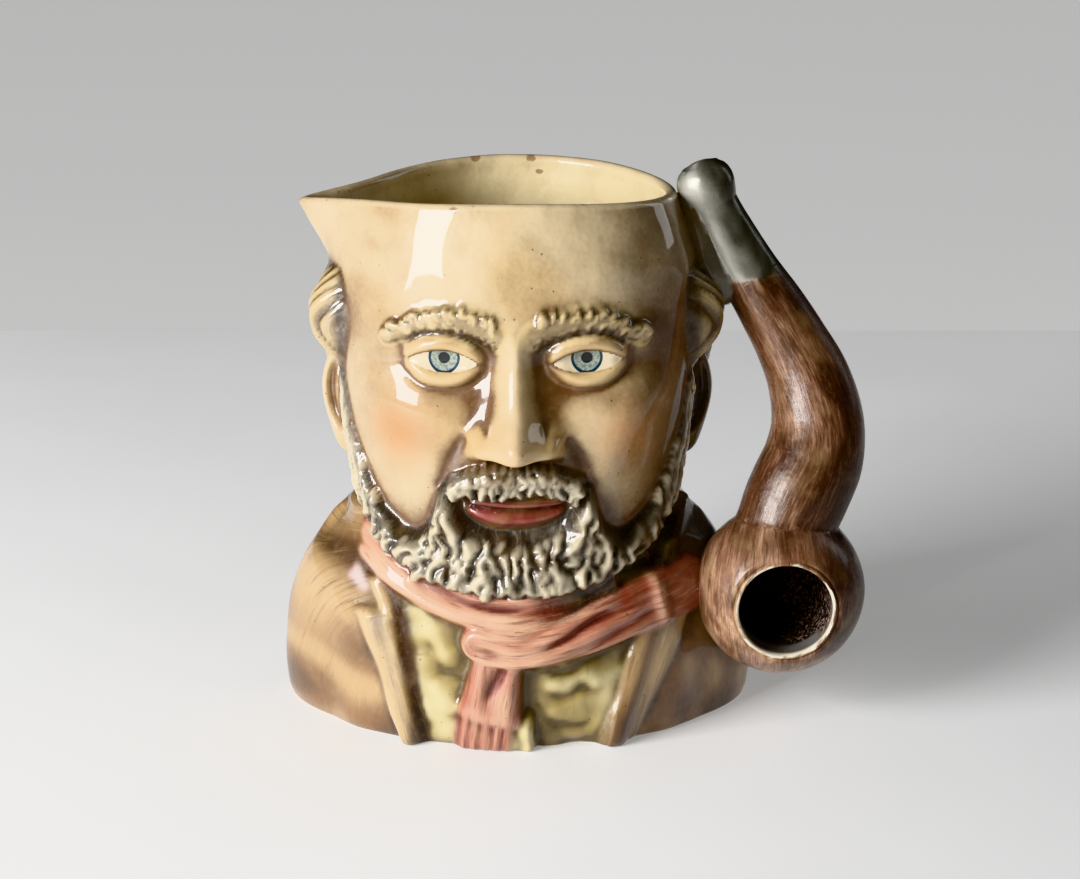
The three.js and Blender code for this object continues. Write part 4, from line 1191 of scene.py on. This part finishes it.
def bowl_part():
    """The bowl with its worn, unglazed lip and sooty bore. Rows run from the back over the lip and in."""
    rings, profile, t = bowl_rings()
    rows = np.arange(len(profile))[:, None] + 0 * t
    lip_end = BALL_RINGS + LIP_RINGS
    inside = smooth(rows, lip_end - 0.8, lip_end + 0.6)
    ragged = wander(np.cos(t) * 12 + 0 * rows, np.sin(t) * 12 + rows, 6, 61)
    ragged += 0.7 * wander(np.cos(t) * 12 + 0 * rows, np.sin(t) * 12 + rows, 2.2, 64)
    low_left = smooth(-np.cos(t) - 0.4 * np.sin(t), -0.2, 0.9)
    bare = smooth(rows + 1.5 * ragged + 1.6 * low_left, lip_end - 3.4, lip_end - 2.3) * (1 - inside)
    forth = profile[:, 1][:, None] + 0 * t
    across, up = profile[:, 0][:, None] * np.cos(t), profile[:, 0][:, None] * np.sin(t)
    worn = smooth(wander(across, up + forth, 9, 62) - 0.5 * smooth(across, 0, 18), -0.5, 0.9)
    worn = np.maximum(worn, smooth(rows, 34, 46) * low_left * smooth(wander(across, up, 7, 65), -0.9, 0.5))
    light = fade(BRIAR, BRIAR_PALE, 0.6 * worn)
    light = fade(light, WORN_RIM, 0.7 * smooth(rows + 2 * ragged, 42, 50) * low_left)
    light = fade(light, BARE_WHITE, bare)
    light = fade(light, SOOT, inside)
    dark = fade(BRIAR_WASH, SOOT, inside)
    # Painted shade: more wash towards the right side of the bowl.
    wash = (0.5 * smooth(wander(across, up, 14, 63), -0.3, 1.0) + 0.75 * smooth(across, 3, 20)
            + 0.4 * smooth(up, 14, 21) * (1 - worn)) * (1 - bare)
    finish = np.stack([np.clip(wash, 0, 1), 2.2 * (1 - bare) * (1 - inside), -inside, 0 * inside], axis=-1)
    flow = brush_way(46 * np.arctan2(across, forth + 30), 2.2 * up, 4)
    return rings, light, dark, finish, flow, mix(0.16, 0.8, bare)


def soften(piece, chosen, times):
    """Smooths the clay over a join, as with a wet finger."""
    pick_up(piece)
    near = np.array([chosen(v.co) for v in piece.data.vertices])
    piece.data.vertices.foreach_set("select", near)
    for edge in piece.data.edges:
        edge.select = bool(near[edge.vertices[0]] and near[edge.vertices[1]])
    for face in piece.data.polygons:
        face.select = all(near[i] for i in face.vertices)
    bpy.ops.object.mode_set(mode="EDIT")
    bpy.ops.mesh.vertices_smooth(factor=0.5, repeat=times)
    bpy.ops.object.mode_set(mode="OBJECT")


# ------------------------------------------------------------------ the jug
def add_paint(piece, source):
    """Gives each vertex of the joined jug the paint of the nearest place it came from."""
    points = np.concatenate(source.points)
    tree = KDTree(len(points))
    for i, p in enumerate(points):
        tree.insert(p, i)
    tree.balance()
    near = np.array([tree.find(v.co)[1] for v in piece.data.vertices])
    opaque = [np.column_stack([part, np.ones(len(part))]) for part in source.light]
    for name, kind, field, parts in (("paint", "FLOAT_COLOR", "color", opaque),
                                     ("wash", "FLOAT_COLOR", "color", source.dark),
                                     ("finish", "FLOAT_COLOR", "color", source.finish),
                                     ("flow", "FLOAT_VECTOR", "vector", source.flow)):
        values = np.concatenate(parts)[near]
        layer = piece.data.attributes.new(name, kind, "POINT")
        layer.data.foreach_set(field, values.astype(np.float32).ravel())


def at_bowl_join(spot):
    """Where the stem meets the bowl."""
    return 49 < spot.z / MM < 63 and spot.x / MM > 50 and spot.y < 0


def make_jug():
    """Rolls each part, joins it to the jug and gives the whole the parts' paint."""
    source = Source()
    points, skin = figure_sheet()
    sleeve = sleeve_rows(points, skin)
    source.add(*sleeve)
    jug = roll_clay("glazed_jug", sleeve[0])
    for side in (-1, 1):
        rings, light, wash = ear_rings(side)
        finish = np.stack([wash, 0.3 + 0 * wash, 0 * wash, 0 * wash], axis=-1)
        # The right ear's wash is a darker brown: painted shade.
        source.add(rings, light, SKIN_WASH if side < 0 else HAIR_WASH * 0.6, finish, np.zeros(3))
        join_clay(jug, roll_clay("ear", rings))
    web, _, _ = tube_rings(WEB, 24, 1.5)
    metal = smooth(web[..., 0], 46, 50)
    # The web from the head to the mouthpiece is painted as a darker copy of the hair: painted shade.
    light = fade(HAIR_TIP * 0.6, PEWTER, metal)
    finish = np.stack([0.75 - 0.2 * metal, 0.4 + 0 * metal, 0.8 * metal, 0 * metal], axis=-1)
    source.add(web, light, HAIR_WASH, finish, np.zeros(3), 0.5)
    join_clay(jug, roll_clay("web", web))
    for part in (stem_part(), bowl_part()):
        source.add(*part)
        join_clay(jug, roll_clay("pipe", part[0]))
    soften(jug, at_bowl_join, 3)
    add_paint(jug, source)
    pick_up(jug)
    bpy.ops.object.shade_smooth_by_angle(angle=math.radians(75))
    return jug


# ------------------------------------------------------------------ shader maths
def both_ways(operation):
    """The two methods of an operator: with the socket on its left, and on its right."""
    def forward(self, other):
        return self.math(operation, self, other)

    def backward(self, other):
        return self.math(operation, other, self)

    return forward, backward


class Value:
    """A socket that takes part in Python expressions."""

    def __init__(self, tree, socket):
        self.tree, self.socket = tree, socket

    def node(self, kind, settings=None, **inputs):
        made = self.tree.nodes.new(kind)
        for name, value in (settings or {}).items():
            setattr(made, name, value)
        for name, value in inputs.items():
            self.link(made, name.replace("_", " "), value)
        return made

    def link(self, made, name, value):
        socket = made.inputs[int(name)] if name.isdigit() else made.inputs[name]
        if isinstance(value, Value):
            self.tree.links.new(value.socket, socket)
        else:
            socket.default_value = value

    def math(self, operation, *values):
        made = self.tree.nodes.new("ShaderNodeMath")
        made.operation = operation
        for i, value in enumerate(values):
            self.link(made, str(i), value)
        return Value(self.tree, made.outputs[0])

    __add__, __radd__ = both_ways("ADD")
    __sub__, __rsub__ = both_ways("SUBTRACT")
    __mul__, __rmul__ = both_ways("MULTIPLY")
    __truediv__, __rtruediv__ = both_ways("DIVIDE")
    __pow__, __rpow__ = both_ways("POWER")

    def __neg__(self):
        return self * -1.0

    def abs(self):
        return self.math("ABSOLUTE", self)

    def sqrt(self):
        return self.math("SQRT", self)

    def clamp(self):
        return self.math("MINIMUM", self.math("MAXIMUM", self, 0.0), 1.0)

    def above(self, low, high):
        """0 below low, 1 above high, and smooth between them."""
        made = self.node("ShaderNodeMapRange", {"interpolation_type": "SMOOTHSTEP", "clamp": True})
        for i, value in enumerate((self, low, high, 0.0, 1.0)):
            self.link(made, str(i), value)
        return Value(self.tree, made.outputs[0])

    def below(self, low, high):
        return 1.0 - self.above(low, high)


class Finish:
    """A material and the nodes that it is built from."""

    def __init__(self, name):
        self.material = bpy.data.materials.new(name)
        self.material.use_nodes = True
        self.tree = self.material.node_tree
        self.shader = self.tree.nodes["Principled BSDF"]
        self.any = Value(self.tree, None)

    def get(self, kind, output, settings=None, **inputs):
        made = self.any.node(kind, settings, **inputs)
        return Value(self.tree, made.outputs[output])

    def mix(self, a, b, factor, blend="MIX"):
        made = self.any.node("ShaderNodeMix", {"data_type": "RGBA", "blend_type": blend})
        for index, value in ((0, factor), (6, a), (7, b)):
            self.any.link(made, str(index), value)
        return Value(self.tree, made.outputs[2])

    def scaled(self, vector, factors):
        made = self.any.node("ShaderNodeVectorMath", {"operation": "MULTIPLY"})
        self.any.link(made, "0", vector)
        self.any.link(made, "1", factors)
        return Value(self.tree, made.outputs[0])

    def painted(self, name, output="Color"):
        """One of the jug's painted maps and its fourth value."""
        made = self.any.node("ShaderNodeAttribute", {"attribute_name": name})
        return Value(self.tree, made.outputs[output]), Value(self.tree, made.outputs["Alpha"])

    def split(self, vector):
        made = self.any.node("ShaderNodeSeparateXYZ", Vector=vector)
        return [Value(self.tree, made.outputs[k]) for k in range(3)]

    def spots(self, vector, scale):
        """How far the nearest of many scattered spots is, and a number of its own for each spot."""
        made = self.any.node("ShaderNodeTexVoronoi", {"feature": "F1"}, Vector=vector, Scale=scale)
        own = self.any.node("ShaderNodeSeparateColor", Color=Value(self.tree, made.outputs["Color"]))
        return Value(self.tree, made.outputs["Distance"]), Value(self.tree, own.outputs[0])

    def noise(self, vector, scale, detail=2.0, rough=0.5):
        return self.get("ShaderNodeTexNoise", 0, {"noise_dimensions": "3D"}, Vector=vector, Scale=scale,
                        Detail=detail, Roughness=rough)

    def feed(self, name, value):
        self.any.link(self.shader, name, value)


def rgba(colour):
    return (float(colour[0]), float(colour[1]), float(colour[2]), 1.0)


FINE_GRAIN, BROAD_GRAIN, ASH_GRAIN, IRIS_RAYS = 900.0, 130.0, 1100.0, 1500.0
SPECKS, RIM_CHIPS = 420.0, 105.0
CHIPPED_FROM = 0.1375  # height of the rim's chipped edge, in metres
BIG_CHIPS = [(-11.5, 139.4, 1.5), (3.5, 139.2, 1.7), (5.8, 135.6, 1.0)]  # across, height, radius
BROAD_BRUSH, THIN_BRUSH = (0.9, 0.07, 3.7), (2.8, 0.13, 1.3)  # strokes across, along and from kind to kind
AGED_BROWN = (0.42, 0.28, 0.14, 1.0)
SPECK_BROWN = (0.10, 0.055, 0.03, 1.0)
CHIP_BROWN = (0.22, 0.12, 0.065, 1.0)
THIN_WHITE = (0.95, 0.90, 0.78, 1.0)
ASH_PINK = (0.42, 0.30, 0.25, 1.0)
LOW_BORE_GREY = (0.13, 0.12, 0.11, 1.0)
PUPIL = (0.012, 0.012, 0.014, 1.0)
IRIS_RADIUS, PUPIL_RADIUS = 3.5, 1.35


def painted_glaze():
    """Hand painting under a clear, wet-looking glaze."""
    f = Finish("painted_glaze")
    place_at = f.get("ShaderNodeTexCoord", "Object")
    x, y, z = f.split(place_at)
    light, _ = f.painted("paint")
    dark, gloss = f.painted("wash")
    finish, eye = f.painted("finish", "Vector")
    flow, _ = f.painted("flow", "Vector")
    wash, streak, metal = f.split(finish)
    soot, clay = (-metal).above(0.3, 0.7), 1.0 - metal.abs().clamp()

    fine = f.noise(place_at, FINE_GRAIN, 4.0, 0.6)
    broad = f.noise(place_at, BROAD_GRAIN, 3.0)
    brush = f.noise(f.scaled(flow, BROAD_BRUSH), 1.0, 3.0, 0.6)
    thin = f.noise(f.scaled(flow, THIN_BRUSH), 1.0, 3.0, 0.6)
    amount = wash + (broad - 0.5) * 0.5 * wash.above(0.02, 0.3) + (fine - 0.5) * 0.35 * wash.above(0.05, 0.4)
    amount = amount.clamp()
    colour = f.mix(light, dark, amount)
    strokes = ((brush - 0.5) * 1.5 + (thin - 0.5) * 0.9) * streak
    colour = f.mix(colour, dark, strokes.above(0.06, 0.55) * 0.55)
    pale = f.mix(f.scaled(light, (1.5, 1.45, 1.3)), THIN_WHITE, 0.06)
    thinned = (-strokes).above(0.08, 0.5) * (streak * 0.22 + 0.22).clamp() * (1.0 - amount * 0.8)
    colour = f.mix(colour, pale, thinned)
    grain = fine.above(0.5, 0.75) * 0.14 + broad.above(0.48, 0.75) * 0.24
    colour = f.mix(colour, AGED_BROWN, grain * clay)

    gap, pick = f.spots(place_at, SPECKS)
    dots = gap.below(0.06, 0.14) * pick.above(0.60, 0.72) * clay
    colour = f.mix(colour, SPECK_BROWN, dots * 0.7)
    gap, pick = f.spots(place_at, RIM_CHIPS)
    chips = (gap + (fine - 0.5) * 0.12).below(0.08, 0.16) * pick.above(0.35, 0.4)
    chips = chips * z.above(CHIPPED_FROM - 0.0013, CHIPPED_FROM)
    for at_x, at_z, size in BIG_CHIPS:
        gap = ((x - at_x * MM) ** 2.0 + ((z - at_z * MM) * 1.5) ** 2.0).sqrt() / (size * MM)
        gap = gap + (fine - 0.5) * 1.3 + (broad - 0.5) * 1.2
        chips = chips + gap.below(0.8, 1.1) * y.above(0.02, 0.025)
    colour = f.mix(colour, CHIP_BROWN, chips.clamp() * 0.75 * clay)
    ash = f.noise(place_at, ASH_GRAIN, 3.0, 0.7).above(0.5, 0.66) * soot
    # The speckle is far stronger on the lower right inside the bore.
    low_right = ((x - BOWL["x"] * MM) - (z - BOWL["z"] * MM) * 0.3).above(0.0, 0.009)
    colour = f.mix(colour, ASH_PINK, ash * (0.04 + low_right * 0.8))
    # A grey strip low in the bore, near its mouth.
    low_bore_strip = (BOWL["z"] * MM - z).above(0.006, 0.009) * y.below(-0.0305, -0.0285) * soot
    colour = f.mix(colour, LOW_BORE_GREY, low_bore_strip)

    out = ((x.abs() - EYE_APART * MM) ** 2.0 + (z - (EYE + 1.0) * MM) ** 2.0).sqrt() / MM
    eye_on = eye.above(0.45, 0.6)
    ray = f.noise(f.scaled(place_at, (1.0, 0.0, 1.0)), IRIS_RAYS, 2.0)
    iris = f.mix(rgba(IRIS_PALE), rgba(IRIS_DARK), ray.above(0.4, 0.65))
    colour = f.mix(colour, rgba(EYE_WHITE), eye_on)
    colour = f.mix(colour, iris, eye_on * out.below(IRIS_RADIUS, IRIS_RADIUS + 0.25))
    edge = out - IRIS_RADIUS
    ring = edge.above(-0.35, -0.15) * edge.below(0.3, 0.55)
    colour = f.mix(colour, rgba(IRIS_RING), eye_on * ring)
    colour = f.mix(colour, PUPIL, eye_on * out.below(PUPIL_RADIUS, PUPIL_RADIUS + 0.25))
    f.feed("Base Color", colour)

    f.feed("Metallic", metal.above(0.3, 0.7) * 0.3)
    f.feed("Roughness", (0.28 + gloss * 0.16 + (fine - 0.5) * 0.25 + soot * 0.4).clamp())
    f.feed("Coat Weight", (gloss - soot * 0.8).clamp())
    f.feed("Coat Roughness", 0.045)
    f.feed("Coat IOR", 1.5)
    f.feed("Specular IOR Level", 0.35)
    ripple = f.noise(place_at, 210.0, 2.0) + f.noise(place_at, 90.0, 1.0) * 2.4
    height = ripple * 1.5 + fine * 0.05 + (thin - 0.5) * streak * 0.12 - dots * 0.4
    f.feed("Normal", f.get("ShaderNodeBump", "Normal", Height=height, Distance=0.00035, Strength=0.6))
    return f.material


# ------------------------------------------------------------------ the stage
def stage_finish(name, colour, rough, glow):
    """A plain matt paper. The glow keeps it evenly pale where the lamps fall off."""
    f = Finish(name)
    where = f.get("ShaderNodeTexCoord", "Object")
    cloud = f.noise(where, 9.0, 4.0)
    f.feed("Base Color", f.mix(rgba(colour), rgba(colour * 0.96), cloud.above(0.4, 0.7)))
    f.feed("Roughness", rough)
    f.feed("Emission Color", (1, 1, 0.99, 1))
    f.feed("Emission Strength", glow)
    return f.material


def flat_sheet(name, low, high, material):
    """A plain sheet to stand things on."""
    deselect()
    bpy.ops.mesh.primitive_grid_add(x_subdivisions=4, y_subdivisions=4, size=1)
    piece = bpy.context.object
    piece.name = name
    low, high = np.array(low, float), np.array(high, float)
    for v in piece.data.vertices:
        v.co = low + (high - low) * np.array([v.co.x + 0.5, v.co.y + 0.5, 0])
    piece.data.materials.append(material)


def add_window(name, location, target, energy, size):
    """A soft rectangular lamp turned towards its target."""
    lamp = bpy.data.objects.new(name, bpy.data.lights.new(name, "AREA"))
    lamp.data.energy = energy
    lamp.data.shape = "RECTANGLE"
    lamp.data.size, lamp.data.size_y = size
    lamp.location = location
    east, north, up = np.array(target, float) - np.array(location, float)
    lamp.rotation_euler = (math.atan2(up, math.hypot(east, north)) + math.pi / 2, 0,
                           math.atan2(north, east) - math.pi / 2)
    bpy.context.scene.collection.objects.link(lamp)


CAMERA_PLACE, CAMERA_DOWN = (0.006, -0.602, 0.245), 16.1
CAMERA_LENS, CAMERA_SENSOR = 79.33, 36
HORIZON = 0.42
FLOOR_GREY, FAR_GREY = paint(0.92, 0.92, 0.92), paint(0.45, 0.45, 0.45)


def set_stage():
    """The camera, a pale floor that turns grey far back, a big window on the left and a faint one behind."""
    camera = bpy.data.objects.new("camera", bpy.data.cameras.new("camera"))
    camera.location = CAMERA_PLACE
    camera.rotation_euler = (math.radians(90 - CAMERA_DOWN), 0, 0)
    camera.data.sensor_width = CAMERA_SENSOR
    camera.data.lens = CAMERA_LENS
    camera.data.clip_start = 0.01
    bpy.context.scene.collection.objects.link(camera)
    bpy.context.scene.camera = camera
    flat_sheet("floor", (-2, -2, 0), (2, HORIZON, 0), stage_finish("pale_floor", FLOOR_GREY, 0.6, 0.27))
    flat_sheet("far_floor", (-2, HORIZON, 0), (2, 2.6, 0), stage_finish("grey_floor", FAR_GREY, 0.9, 0.50))
    add_window("window", (-0.84, -0.66, 0.42), (0, 0, 0.09), 22.5, (0.58, 0.48))
    add_window("far_window", (0.75, 0.30, 0.45), (0, 0, 0.08), 0.7, (0.2, 0.6))
    world = bpy.data.worlds.new("room")
    bpy.context.scene.world = world
    world.use_nodes = True
    air = world.node_tree.nodes["Background"]
    air.inputs["Color"].default_value = (0.9, 0.94, 1.0, 1)
    air.inputs["Strength"].default_value = 0.04
    bpy.context.scene.view_settings.view_transform = "Khronos PBR Neutral"


set_stage()
jug = make_jug()
jug.data.materials.clear()
jug.data.materials.append(painted_glaze())
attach(jug, "root")
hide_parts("jug")
